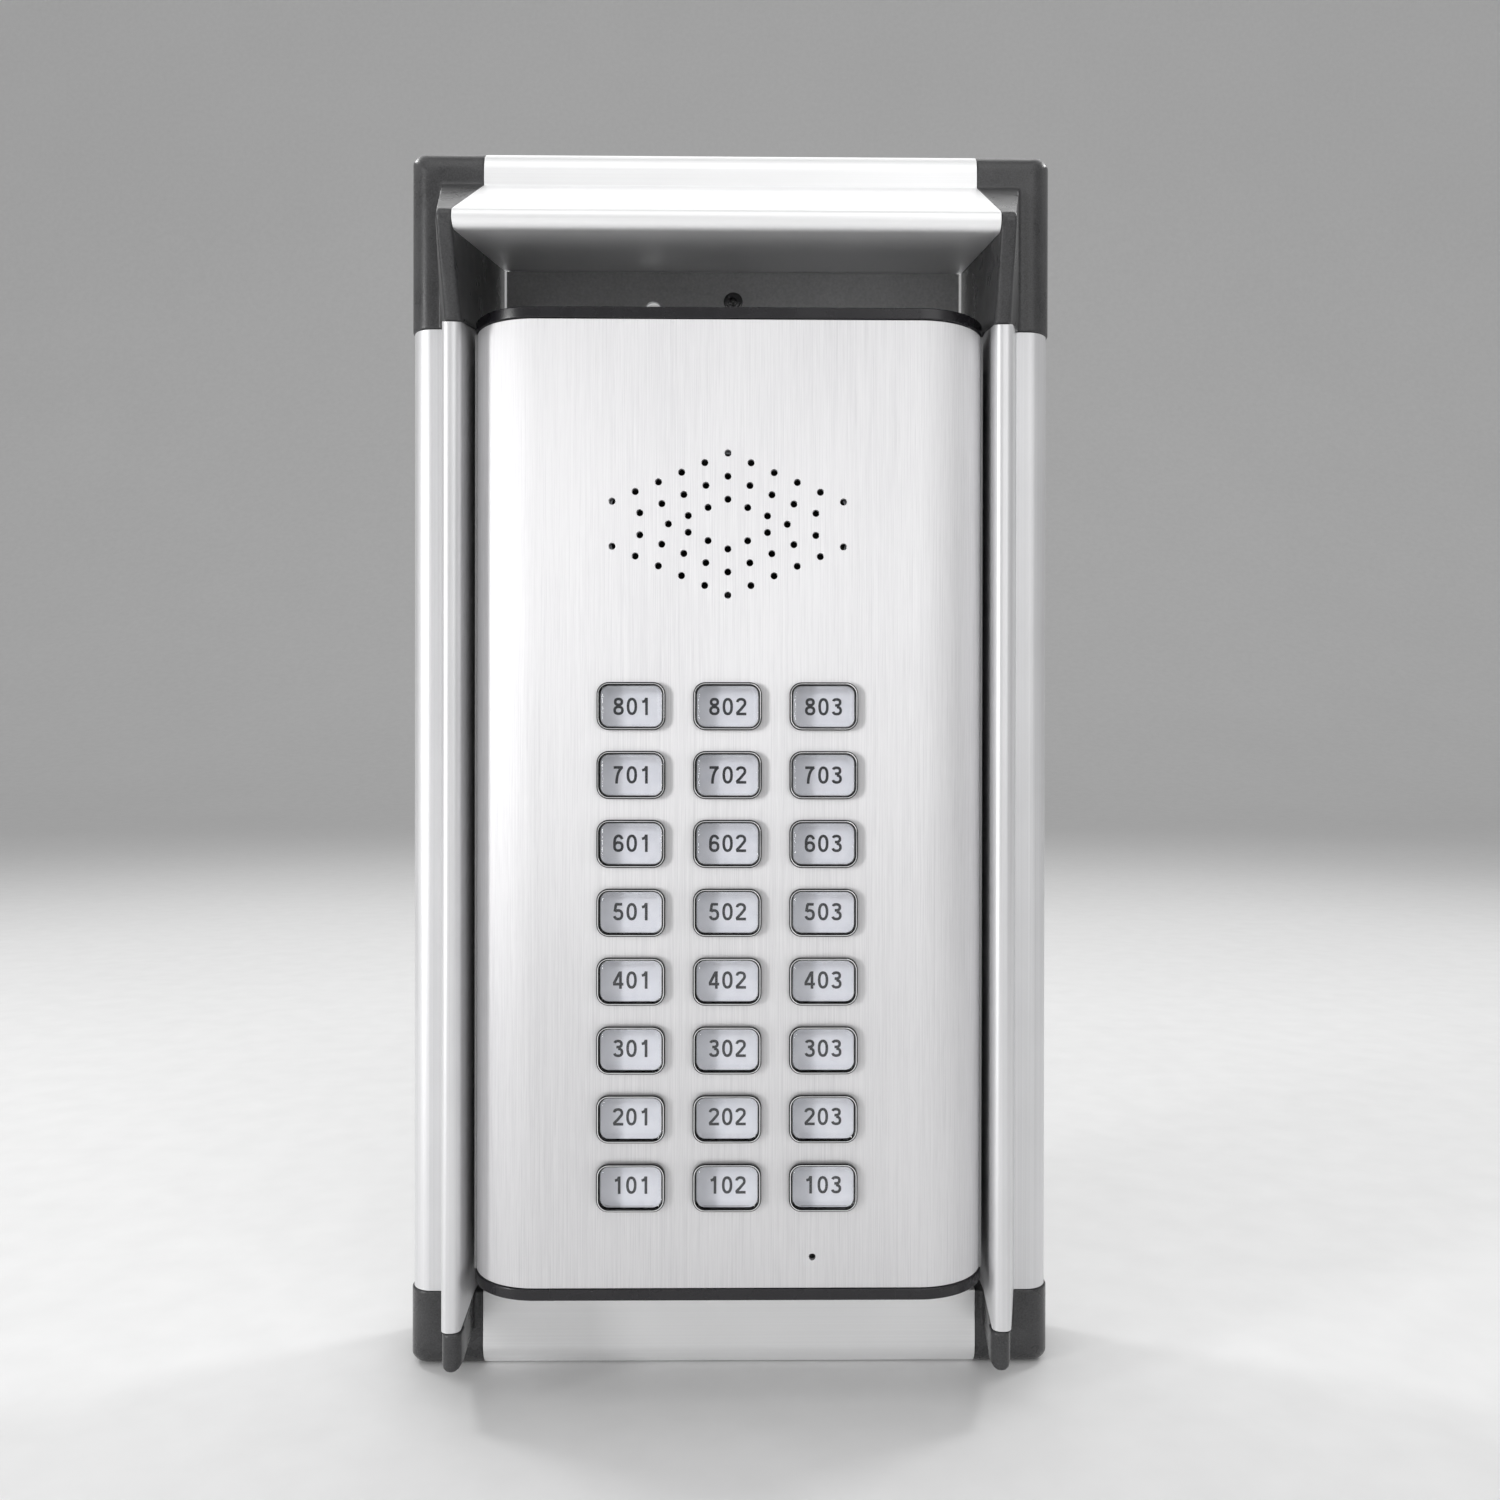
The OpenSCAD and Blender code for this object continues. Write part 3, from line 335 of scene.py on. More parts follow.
def lathe(bm, profile, centre, axis, steps=40):
    """Turns a profile of (radius, height) round an axis through centre. Radius 0 closes an end."""
    turn = Vector((0, 0, 1)).rotation_difference(Vector(axis))
    rings = []
    for r, h in profile:
        if r <= 0:
            rings.append([bm.verts.new(Vector(centre) + turn @ Vector((0, 0, h)))])
            continue
        rings.append([bm.verts.new(Vector(centre) + turn @ Vector((x, y, h)))
                      for x, y in circle(0, 0, r, steps)])
    for a, b in zip(rings, rings[1:]):
        for i in range(steps):
            j = (i + 1) % steps
            if len(a) == 1:
                bm.faces.new((a[0], b[j], b[i]))
            elif len(b) == 1:
                bm.faces.new((a[i], a[j], b[0]))
            else:
                bm.faces.new((a[i], a[j], b[j], b[i]))


def mirrored(mesh, name):
    """A copy of a mesh on the other side of the middle plane."""
    copy = mesh.copy()
    copy.name = name
    copy.transform(Matrix.Scale(-1, 4, (1, 0, 0)))
    copy.flip_normals()
    return copy


# ---- Materials ----

class Finish:
    """A node-based material with object coordinates, noise layers and bump."""

    def __init__(self, name, **sockets):
        self.material = bpy.data.materials.new(name)
        self.material.use_nodes = True
        self.tree = self.material.node_tree
        self.shader = self.tree.nodes["Principled BSDF"]
        for key, value in sockets.items():
            self.shader.inputs[key.replace("_", " ")].default_value = value
        self.coords = self.tree.nodes.new("ShaderNodeTexCoord")
        self.height = None

    def link(self, a, b):
        self.tree.links.new(a, b)

    def noise(self, size, stretch=(1, 1, 1), detail=3.0, rough=0.5):
        """Noise with features of this size in metres, drawn out by stretch along each axis."""
        mapping = self.tree.nodes.new("ShaderNodeMapping")
        mapping.inputs["Scale"].default_value = [1 / (size * s) for s in stretch]
        node = self.tree.nodes.new("ShaderNodeTexNoise")
        node.inputs["Scale"].default_value = 1
        node.inputs["Detail"].default_value = detail
        node.inputs["Roughness"].default_value = rough
        self.link(self.coords.outputs["Object"], mapping.inputs["Vector"])
        self.link(mapping.outputs["Vector"], node.inputs["Vector"])
        return node.outputs["Fac"]

    def spread(self, value, a, b, start=0.3, end=0.7):
        """Maps a value from start..end to a..b."""
        node = self.tree.nodes.new("ShaderNodeMapRange")
        for key, number in (("From Min", start), ("From Max", end), ("To Min", a), ("To Max", b)):
            node.inputs[key].default_value = number
        self.link(value, node.inputs["Value"])
        return node.outputs["Result"]

    def blend(self, value, dark, light, start=0.3, end=0.7):
        """A colour between dark and light by a value."""
        node = self.tree.nodes.new("ShaderNodeValToRGB")
        first, last = node.color_ramp.elements
        first.position, first.color = start, (*dark, 1)
        last.position, last.color = end, (*light, 1)
        self.link(value, node.inputs["Fac"])
        return node.outputs["Color"]

    def add(self, a, b, share=0.5):
        """a + b * share"""
        node = self.tree.nodes.new("ShaderNodeMath")
        node.operation = "MULTIPLY_ADD"
        node.inputs[1].default_value = share
        self.link(b, node.inputs[0])
        self.link(a, node.inputs[2])
        return node.outputs["Value"]

    def colour(self, value, dark, light, start=0.3, end=0.7):
        self.link(self.blend(value, dark, light, start, end), self.shader.inputs["Base Color"])

    def roughness(self, value, a, b):
        self.link(self.spread(value, a, b), self.shader.inputs["Roughness"])

    def bump(self, height, distance, strength=1.0):
        node = self.tree.nodes.new("ShaderNodeBump")
        node.inputs["Distance"].default_value = distance
        node.inputs["Strength"].default_value = strength
        self.link(height, node.inputs["Height"])
        self.link(node.outputs["Normal"], self.shader.inputs["Normal"])


def plain(name, dark, light, rough=(0.4, 0.55), size=0.6 * MM, bump=0.01 * MM, **sockets):
    """A material with one fine grain in its colour, roughness and surface."""
    made = Finish(name, **sockets)
    fine = made.noise(size)
    wide = made.noise(size * 24)
    made.colour(made.add(fine, wide), dark, light, 0.5, 1.0)
    made.roughness(wide, *rough)
    made.bump(fine, bump)
    return made.material


def extruded_aluminium(name, along, dark, light):
    """Satin anodised aluminium, with faint die lines along the extrusion and a fine etched grain."""
    made = Finish(name, Metallic=0.65)
    stretch = [400 if axis == along else 1 for axis in "XYZ"]
    lines = made.noise(0.5 * MM, stretch, 2)
    grain = made.noise(0.12 * MM)
    wide = made.noise(30 * MM)
    made.colour(made.add(lines, wide), dark, light, 0.5, 1.0)
    made.roughness(made.add(lines, grain, 0.3), 0.38, 0.46)
    made.bump(made.add(lines, grain, 0.5), 0.004 * MM)
    return made.material


def brushed_steel():
    """Stainless steel brushed upright, with short and long hairlines."""
    made = Finish("faceplate_brushed", Metallic=0.82, Anisotropic=0.85)
    tangent = made.tree.nodes.new("ShaderNodeTangent")
    tangent.axis = "Z"
    made.link(tangent.outputs["Tangent"], made.shader.inputs["Tangent"])
    hair = made.noise(0.16 * MM, (1, 1, 260), 4, 0.65)
    short = made.noise(0.28 * MM, (1, 1, 40), 3, 0.6)
    cloud = made.noise(34 * MM, (1, 1, 2.5))
    layers = made.add(made.add(hair, short, 0.5), cloud, 0.3)
    made.colour(layers, (0.74, 0.735, 0.75), (0.9, 0.895, 0.905), 0.6, 1.15)
    made.roughness(made.add(hair, short, 0.4), 0.5, 0.62)
    made.bump(made.add(hair, short, 0.4), 0.006 * MM)
    return made.material


def chrome(name, dark, light):
    """Polished plating with a faint unevenness."""
    made = Finish(name, Metallic=1.0)
    wide = made.noise(3 * MM)
    made.colour(wide, dark, light)
    made.roughness(wide, 0.08, 0.16)
    made.bump(made.noise(1.5 * MM), 0.004 * MM)
    return made.material


def clear_plastic():
    """The lens: clear moulded plastic that lets light through to its card."""
    made = Finish("key_clear", Transmission_Weight=1.0, IOR=1.46)
    wide = made.noise(4 * MM)
    made.colour(wide, (0.93, 0.945, 0.96), (0.98, 0.985, 0.99))
    made.roughness(wide, 0.02, 0.05)
    made.bump(wide, 0.006 * MM)
    tree = made.tree
    path = tree.nodes.new("ShaderNodeLightPath")
    clear = tree.nodes.new("ShaderNodeBsdfTransparent")
    mix = tree.nodes.new("ShaderNodeMixShader")
    made.link(path.outputs["Is Shadow Ray"], mix.inputs["Fac"])
    made.link(made.shader.outputs["BSDF"], mix.inputs[1])
    made.link(clear.outputs["BSDF"], mix.inputs[2])
    made.link(mix.outputs["Shader"], tree.nodes["Material Output"].inputs["Surface"])
    return made.material


def circuit_board():
    """Green solder mask over a faint pattern of copper tracks."""
    made = Finish("board_green", Roughness=0.35)
    tracks = made.tree.nodes.new("ShaderNodeTexBrick")
    tracks.inputs["Scale"].default_value = 90
    tracks.inputs["Mortar Size"].default_value = 0.02
    made.link(made.coords.outputs["Object"], tracks.inputs["Vector"])
    layers = made.add(made.noise(2 * MM), tracks.outputs["Fac"], 0.4)
    made.colour(layers, (0.01, 0.09, 0.035), (0.04, 0.2, 0.08))
    made.roughness(made.noise(1 * MM), 0.3, 0.45)
    made.bump(tracks.outputs["Fac"], 0.03 * MM)
    return made.material


# One anodised finish in two copies: the die lines run along each rail, and the level rails are painted
# lighter than the upright ones, a painted difference in light.
ALUMINIUM_Z_PAINTED_DARKER = extruded_aluminium("rail_aluminium_upright_painted_darker", "Z", (0.68, 0.68, 0.69), (0.76, 0.76, 0.77))
ALUMINIUM_X_PAINTED_LIGHTER = extruded_aluminium("rail_aluminium_level_painted_lighter", "X", (0.91, 0.91, 0.915), (0.96, 0.962, 0.965))
BRUSHED = brushed_steel()
CHROME = chrome("bezel_chrome", (0.8, 0.81, 0.82), (0.9, 0.905, 0.91))
# A darkened copy of the bezel chrome: painted dark reflection on the rims' shoulders and outer sides, and
# painted shade in their inner skirts.
PAINTED_DARK_CHROME = chrome("bezel_flank_painted_dark_reflection", (0.012, 0.012, 0.013), (0.03, 0.03, 0.032))
CLEAR = clear_plastic()
CORNER = plain("corner_plastic", (0.028, 0.028, 0.029), (0.064, 0.064, 0.066), (0.24, 0.36),
               0.45 * MM, 0.035 * MM, Specular_IOR_Level=0.4)
CAP = plain("cap_plastic", (0.006, 0.0055, 0.007), (0.014, 0.013, 0.016), (0.22, 0.32), 0.3 * MM, 0.015 * MM)
HOUSING = plain("housing_plastic", (0.38, 0.38, 0.385), (0.46, 0.46, 0.465), (0.4, 0.55), 0.4 * MM, 0.02 * MM)
PLATE = plain("back_plate", (0.4, 0.4, 0.405), (0.52, 0.52, 0.525), (0.36, 0.48), 0.8 * MM, 0.01 * MM,
              Metallic=0.3)
RIVET = plain("rivet_dark", (0.14, 0.14, 0.142), (0.22, 0.22, 0.222), (0.2, 0.3), 0.3 * MM, 0.006 * MM,
              Metallic=1.0)
STEEL = plain("steel_fixings", (0.5, 0.5, 0.5), (0.68, 0.68, 0.67), (0.22, 0.34), 0.3 * MM, 0.008 * MM,
              Metallic=1.0)
CARD = plain("label_card", (0.64, 0.64, 0.69), (0.74, 0.74, 0.78), (0.5, 0.65), 0.1 * MM, 0.004 * MM)
INK = plain("label_ink", (0.001, 0.0015, 0.005), (0.004, 0.005, 0.012), (0.4, 0.55), 0.1 * MM, 0.002 * MM)
INNER = plain("inner_plastic", (0.28, 0.28, 0.29), (0.36, 0.36, 0.37), (0.4, 0.55), 0.5 * MM)
BOARD = circuit_board()
BLACK_PART = plain("component_black", (0.012, 0.012, 0.013), (0.03, 0.03, 0.032), (0.35, 0.5), 0.2 * MM)
SLEEVE = plain("capacitor_sleeve", (0.02, 0.02, 0.07), (0.04, 0.04, 0.13), (0.25, 0.4), 1 * MM)
TERMINAL = plain("terminal_green", (0.02, 0.22, 0.08), (0.04, 0.32, 0.13), (0.35, 0.5), 0.5 * MM)
RUBBER = plain("seal_rubber", (0.012, 0.012, 0.013), (0.026, 0.026, 0.027), (0.6, 0.8), 0.5 * MM, 0.03 * MM)
BASKET = plain("basket_steel", (0.3, 0.31, 0.33), (0.42, 0.43, 0.45), (0.3, 0.45), 0.6 * MM, Metallic=1.0)
CONE = plain("cone_paper", (0.015, 0.015, 0.015), (0.045, 0.043, 0.04), (0.75, 0.9), 0.5 * MM, 0.06 * MM)
IRON = plain("magnet_iron", (0.09, 0.09, 0.1), (0.15, 0.15, 0.16), (0.4, 0.6), 0.4 * MM, 0.02 * MM,
             Metallic=0.7)
CAPSULE = plain("capsule_aluminium", (0.6, 0.6, 0.6), (0.75, 0.75, 0.75), (0.3, 0.4), 0.3 * MM, Metallic=1.0)
RIBBON = plain("ribbon_sleeve", (0.5, 0.5, 0.5), (0.62, 0.62, 0.61), (0.4, 0.55), 0.6 * MM)

SLOT_FINISH = {
    "rail_aluminium": ALUMINIUM_Z_PAINTED_DARKER, "corner_plastic": CORNER, "back_plate": PLATE, "steel_fixings": STEEL,
    "faceplate_brushed": BRUSHED, "cap_plastic": CAP, "housing_plastic": HOUSING, "bezel_chrome": CHROME,
    "key_clear": CLEAR, "inner_plastic": INNER, "board_green": BOARD, "component_black": BLACK_PART,
    "capacitor_sleeve": SLEEVE, "terminal_green": TERMINAL, "seal_rubber": RUBBER, "basket_steel": BASKET,
    "cone_paper": CONE, "magnet_iron": IRON, "capsule_aluminium": CAPSULE, "ribbon_sleeve": RIBBON,
}


def dress_cad_nodes():
    """Gives every CAD node its slot's finish, softened edges and clean normals."""
    for part in frame["record"]["subparts"]:
        node = NODES[part["node"]]
        node.data.materials.clear()
        node.data.materials.append(SLOT_FINISH[part["material_slot"]])
        weld = node.modifiers.new("weld", "WELD")
        weld.merge_threshold = 0.002 * MM
        soft = node.modifiers.new("soft_edges", "BEVEL")
        soft.width = 0.15 * MM
        soft.segments = 2
        soft.limit_method = "ANGLE"
        soft.angle_limit = math.radians(40)
        soft.harden_normals = True


# ---- Hood ----

def visor_under(y):
    """Height of the visor's underside at y."""
    lip = LIP_Z - LIP_R * math.cos(VISOR_UNDER_SLOPE)
    return lip + (y - LIP_Y - LIP_R - LIP_R * math.sin(VISOR_UNDER_SLOPE)) * math.tan(VISOR_UNDER_SLOPE)


def visor_top(y):
    """Height of the visor's top face at y."""
    lip = LIP_Z + LIP_R * math.cos(VISOR_TOP_SLOPE)
    return lip + (y - LIP_Y - LIP_R + LIP_R * math.sin(VISOR_TOP_SLOPE)) * math.tan(VISOR_TOP_SLOPE)


def side_rail_mesh():
    """The upright rail with its fin, hollow, its fin cut down on a slant at the top."""
    nose_out = NOSE_X + NOSE_R * 1.06
    outline = rounded([
        (FOOT_X, 0, 0), (RAIL_X, 0, RAIL_SOFT_R), (RAIL_X, RAIL_Y, RAIL_EDGE_R),
        (FIN_ROOT_OUT, RAIL_Y, 0.7 * MM), (nose_out, FIN_Y, NOSE_R * 0.97),
        (NOSE_X - NOSE_R, FIN_Y, NOSE_R * 0.97),
        (RAIL_IN, RAIL_Y, 0), (RAIL_IN, -FOOT_T, 0.3 * MM), (FOOT_X, -FOOT_T, 0.2 * MM),
        (FOOT_X, PLATE_FRONT - 0.1 * MM, 0), (FOOT_X + 2 * MM, PLATE_FRONT - 0.1 * MM, 0),
        (FOOT_X + 2 * MM, PLATE_BACK + 0.1 * MM, 0), (FOOT_X, PLATE_BACK + 0.1 * MM, 0)], 14)
    inner_x = RAIL_IN + RAIL_WALL
    chamber = rounded([
        (inner_x, -RAIL_WALL, 0.5 * MM), (RAIL_X - RAIL_WALL, -RAIL_WALL, 0.5 * MM),
        (RAIL_X - RAIL_WALL, RAIL_Y + RAIL_WALL, RAIL_EDGE_R - RAIL_WALL),
        (inner_x, RAIL_Y + RAIL_WALL, 0.5 * MM)])
    bm = bmesh.new()
    prism(bm, [outline, chamber], ALONG_Z, SIDE_BOTTOM, SIDE_TOP)
    slope = SIDE_TOP_DROP / (RAIL_Y - FIN_Y)
    for v in bm.verts:
        if v.co.z > 0 and v.co.y < RAIL_Y:
            v.co.z -= (RAIL_Y - v.co.y) * slope
    return finish_mesh(drilled(bm, SIDE_SCREWS), "side_rail")


def make_side_rails():
    right = side_rail_mesh()
    piece("side_rail_right", right, ALUMINIUM_Z_PAINTED_DARKER, replaces=["hood_side_rail_right"])
    piece("side_rail_left", mirrored(right, "side_rail_left"), ALUMINIUM_Z_PAINTED_DARKER,
          replaces=["hood_side_rail_left"])


def add_flange(bm, bottom, top, holes):
    """The thin flange behind the back plate, with its holes."""
    outline = [(-FLANGE_X, bottom), (FLANGE_X, bottom), (FLANGE_X, top), (-FLANGE_X, top)]
    prism(bm, [outline] + [circle(x, z, r) for x, z, r in holes], ALONG_Y, -FLANGE_T, 0, 0.08 * MM)


def make_top_rail():
    """The top rail and its rain visor, one hollow extrusion."""
    lip_y = LIP_Y + LIP_R
    lip = arc(lip_y, LIP_Z, LIP_R, 90 + math.degrees(VISOR_TOP_SLOPE),
              270 + math.degrees(VISOR_UNDER_SLOPE), 24)
    root = (RAIL_Y, visor_top(RAIL_Y))
    top = rounded([(0, visor_under(0), 0), (0, TOP_Z, RAIL_SOFT_R), (RAIL_Y, TOP_Z, RAIL_EDGE_R),
                   (*root, 0.7 * MM), (lip[0][0], lip[0][1], 0)], 14)
    outline = top[:-1] + lip
    inner_y = RAIL_Y + RAIL_WALL
    chamber = rounded([
        (-RAIL_WALL, visor_under(-RAIL_WALL) + RAIL_WALL, 0.5 * MM),
        (-RAIL_WALL, TOP_Z - RAIL_WALL, 0.5 * MM),
        (inner_y, TOP_Z - RAIL_WALL, RAIL_EDGE_R - RAIL_WALL),
        (inner_y, visor_under(inner_y) + RAIL_WALL, 0.5 * MM)])
    bm = bmesh.new()
    prism(bm, [outline, chamber], ALONG_X, -CROSS_X, CROSS_X)
    bm = drilled(bm, both_ends(CROSS_SCREWS[0]))
    bottom = low("hood_top_rail").z
    add_flange(bm, bottom, visor_under(0), [(0, RIVET_Z[0], RIVET_HOLE_R), (*SPARE_HOLE, SPARE_HOLE_R)])
    piece("top_rail", finish_mesh(bm, "top_rail"), ALUMINIUM_X_PAINTED_LIGHTER,
          replaces=["hood_top_rail"])


def make_bottom_rail():
    floor, top = -TOP_Z, low("hood_side_rail_right").z - 0.1 * MM
    bm = bmesh.new()
    outline = rounded([(0, top, RAIL_SOFT_R), (RAIL_Y, top, 0.5 * MM), (RAIL_Y, floor, RAIL_EDGE_R),
                       (0, floor, RAIL_SOFT_R)], 14)
    chamber = rounded([(-RAIL_WALL, top - RAIL_WALL, 0.5 * MM),
                       (RAIL_Y + RAIL_WALL, top - RAIL_WALL, 0.5 * MM),
                       (RAIL_Y + RAIL_WALL, floor + RAIL_WALL, RAIL_EDGE_R - RAIL_WALL),
                       (-RAIL_WALL, floor + RAIL_WALL, 0.5 * MM)])
    prism(bm, [outline, chamber], ALONG_X, -CROSS_X, CROSS_X)
    bm = drilled(bm, both_ends(CROSS_SCREWS[1]))
    add_flange(bm, top, top + FLANGE_H, [(0, RIVET_Z[1], RIVET_HOLE_R)])
    piece("bottom_rail", finish_mesh(bm, "bottom_rail"), ALUMINIUM_X_PAINTED_LIGHTER,
          replaces=["hood_bottom_rail"])


def moulded(name, node, voxel=0.5 * MM, passes=5):
    """A moulded corner with soft edges, from the CAD solid's own shape."""
    body = bpy.data.objects.new(name, NODES[node].data.copy())
    SCENE.collection.objects.link(body)
    weld = body.modifiers.new("weld", "WELD")
    weld.merge_threshold = 0.002 * MM
    skin = body.modifiers.new("skin", "REMESH")
    skin.mode = "VOXEL"
    skin.voxel_size = voxel
    soft = body.modifiers.new("soft", "SMOOTH")
    soft.factor = 0.5
    soft.iterations = passes
    mesh = bpy.data.meshes.new_from_object(body.evaluated_get(bpy.context.evaluated_depsgraph_get()))
    bpy.data.objects.remove(body)
    mesh.name = name
    mesh.shade_smooth()
    round_off(mesh)
    piece(name, mesh, CORNER, replaces=[node])


def round_off(mesh):
    """Rounds a corner piece's outer corner, as seen from the front, following its rolled front edge."""
    for v in mesh.vertices:
        past = RAIL_Y + RAIL_EDGE_R - v.co.y
        if past > RAIL_EDGE_R:
            continue
        drawn_in = RAIL_EDGE_R - math.sqrt(RAIL_EDGE_R ** 2 - max(past, 0) ** 2)
        dx = abs(v.co.x) - (CORNER_X - drawn_in - CORNER_R)
        dz = abs(v.co.z) - (TOP_Z - drawn_in - CORNER_R)
        faces_out = v.normal.x * v.co.x + v.normal.z * v.co.z > -0.01 * MM
        limit = CORNER_R if faces_out else CORNER_R - CORNER_WALL
        reach = math.hypot(dx, dz)
        if dx > 0 and dz > 0 and reach > limit:
            v.co.x -= math.copysign(dx * (1 - limit / reach), v.co.x)
            v.co.z -= math.copysign(dz * (1 - limit / reach), v.co.z)


def make_corners():
    for side in ("left", "right"):
        moulded("corner_top_" + side, "hood_corner_top_" + side)
        moulded("corner_bottom_" + side, "hood_corner_bottom_" + side)


def make_rivets():
    """Two blind rivets: a low domed head with the broken stem in its bore, and the formed tail behind."""
    for name, z in zip(("upper", "lower"), RIVET_Z):
        bm = bmesh.new()
        head = [(0, 0.75), (0.35, 0.7), (0.55, 0.5), (0.62, 0.2), (0.8, 0.2), (0.9, 0.85), (1.15, 1.1),
                (1.45, 1.0), (1.65, 0.75), (1.8, 0.7), (2.1, 0.8), (2.35, 0.72), (2.55, 0.45),
                (2.75, 0.35), (3.0, 0.3), (3.2, 0.1), (3.2, 0), (1.6, 0), (1.6, -2.5), (1.2, -2.6), (0, -2.6)]
        lathe(bm, [(r * MM, h * MM) for r, h in head], (0, PLATE_FRONT, z), (0, -1, 0))
        piece("rivet_" + name, finish_mesh(bm, "rivet_" + name, 50), RIVET,
              replaces=["hood_rivets"])


def cut(mesh, cutter, sharp=35):
    """The mesh less the closed solid in the bmesh cutter, with clean shading."""
    bmesh.ops.recalc_face_normals(cutter, faces=cutter.faces)
    shape = bpy.data.meshes.new("cutter")
    cutter.to_mesh(shape)
    cutter.free()
    body, tool = bpy.data.objects.new("body", mesh), bpy.data.objects.new("cutter", shape)
    for obj in (body, tool):
        SCENE.collection.objects.link(obj)
    less = body.modifiers.new("cut", "BOOLEAN")
    less.operation = "DIFFERENCE"
    less.object = tool
    made = bpy.data.meshes.new_from_object(body.evaluated_get(bpy.context.evaluated_depsgraph_get()))
    bpy.data.objects.remove(body)
    bpy.data.objects.remove(tool)
    made.name = mesh.name
    made.shade_smooth()
    made.set_sharp_from_angle(angle=math.radians(sharp))
    return made


def drilled(rail, places):
    """The rail in the bmesh, with a countersunk screw hole in its back at each place (x, z)."""
    drill = bmesh.new()
    for x, z in places:
        lathe(drill, [(0, 1 * MM), (CORNER_SCREW_R + 0.05 * MM, 1 * MM), (CORNER_SCREW_R + 0.05 * MM, 0),
                   (1.5 * MM, -1.4 * MM), (1.5 * MM, -2.2 * MM), (0, -2.2 * MM)], (x, 0, z), (0, 1, 0), 32)
    made = bmesh.new()
    made.from_mesh(cut(finish_mesh(rail, "rail"), drill))
    return made


def both_ends(place):
    """A place and its mirror image."""
    return [(-place[0], place[1]), place]


def screw_head(name, at, axis, r, length):
    """A countersunk screw with a cross recess in its head."""
    arm, half, deep = r * 0.62, r * 0.16, r * 0.5
    bm = bmesh.new()
    lathe(bm, [(0, -length), (r * 0.35, -length), (r * 0.48, -length + 0.4 * MM), (r * 0.48, -r * 0.52),
               (r * 0.96, -0.04 * MM), (r * 0.99, -0.01 * MM), (r * 0.97, 0), (0, 0)], (0, 0, 0), (0, 0, 1))
    cross = bmesh.new()
    plus = [(half, half), (half, arm), (-half, arm), (-half, half), (-arm, half), (-arm, -half),
            (-half, -half), (-half, -arm), (half, -arm), (half, -half), (arm, -half), (arm, half)]
    levels = ((0.45, -deep), (1, -0.02 * MM), (1, 0.3 * MM))
    loft(cross, [[(x * k, y * k, z) for x, y in plus] for k, z in levels])
    mesh = cut(finish_mesh(bm, name), cross, 30)
    turn = Vector((0, 0, 1)).rotation_difference(Vector(axis)).to_matrix().to_4x4()
    mesh.transform(Matrix.Translation(at) @ turn)
    mesh.name = name
    return mesh


def make_screws():
    """The cross-head screws at the hood's back and in the end caps' outer faces."""
    back = high("hood_corner_screws").y
    for i, (x, z) in enumerate(CROSS_SCREWS + SIDE_SCREWS):
        for side, sign in (("left", -1), ("right", 1)):
            name = f"corner_screw_{i + 1}_{side}"
            mesh = screw_head(name, (sign * x, back, z), (0, 1, 0), CORNER_SCREW_R, 7 * MM)
            piece(name, mesh, STEEL, replaces=["hood_corner_screws"])
    caps = (("top", high("end_cap_screws").z, 1), ("bottom", low("end_cap_screws").z, -1))
    for end, z, way in caps:
        for side, sign in (("left", -1), ("right", 1)):
            name = f"cap_screw_{end}_{side}"
            mesh = screw_head(name, (sign * CAP_SCREW[0], CAP_SCREW[1], z), (0, 0, way), CAP_SCREW_R, 12 * MM)
            piece(name, mesh, STEEL, replaces=["end_cap_screws"])


# ---- Call station ----

def key_places():
    """Each key's node name and the middle of its front, from the frame."""
    for node in sorted(n for n in NODES if n.startswith("key_") and n[4:].isdigit()):
        lo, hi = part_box(node)
        yield node, (lo.x + hi.x) / 2, (lo.z + hi.z) / 2, lo.y


def speaker_holes():
    """The middles of the speaker's holes: three rings in the outline of a lozenge."""
    for step, height, drop, count in HOLE_RINGS:
        for i in range(count + 1):
            rise = height - i * drop
            for sx in ((0,) if i == 0 else (-1, 1)):
                for sz in ((0,) if rise < 0.5 else (-1, 1)):
                    yield sx * i * step * MM, SPEAKER_Z + sz * rise * MM


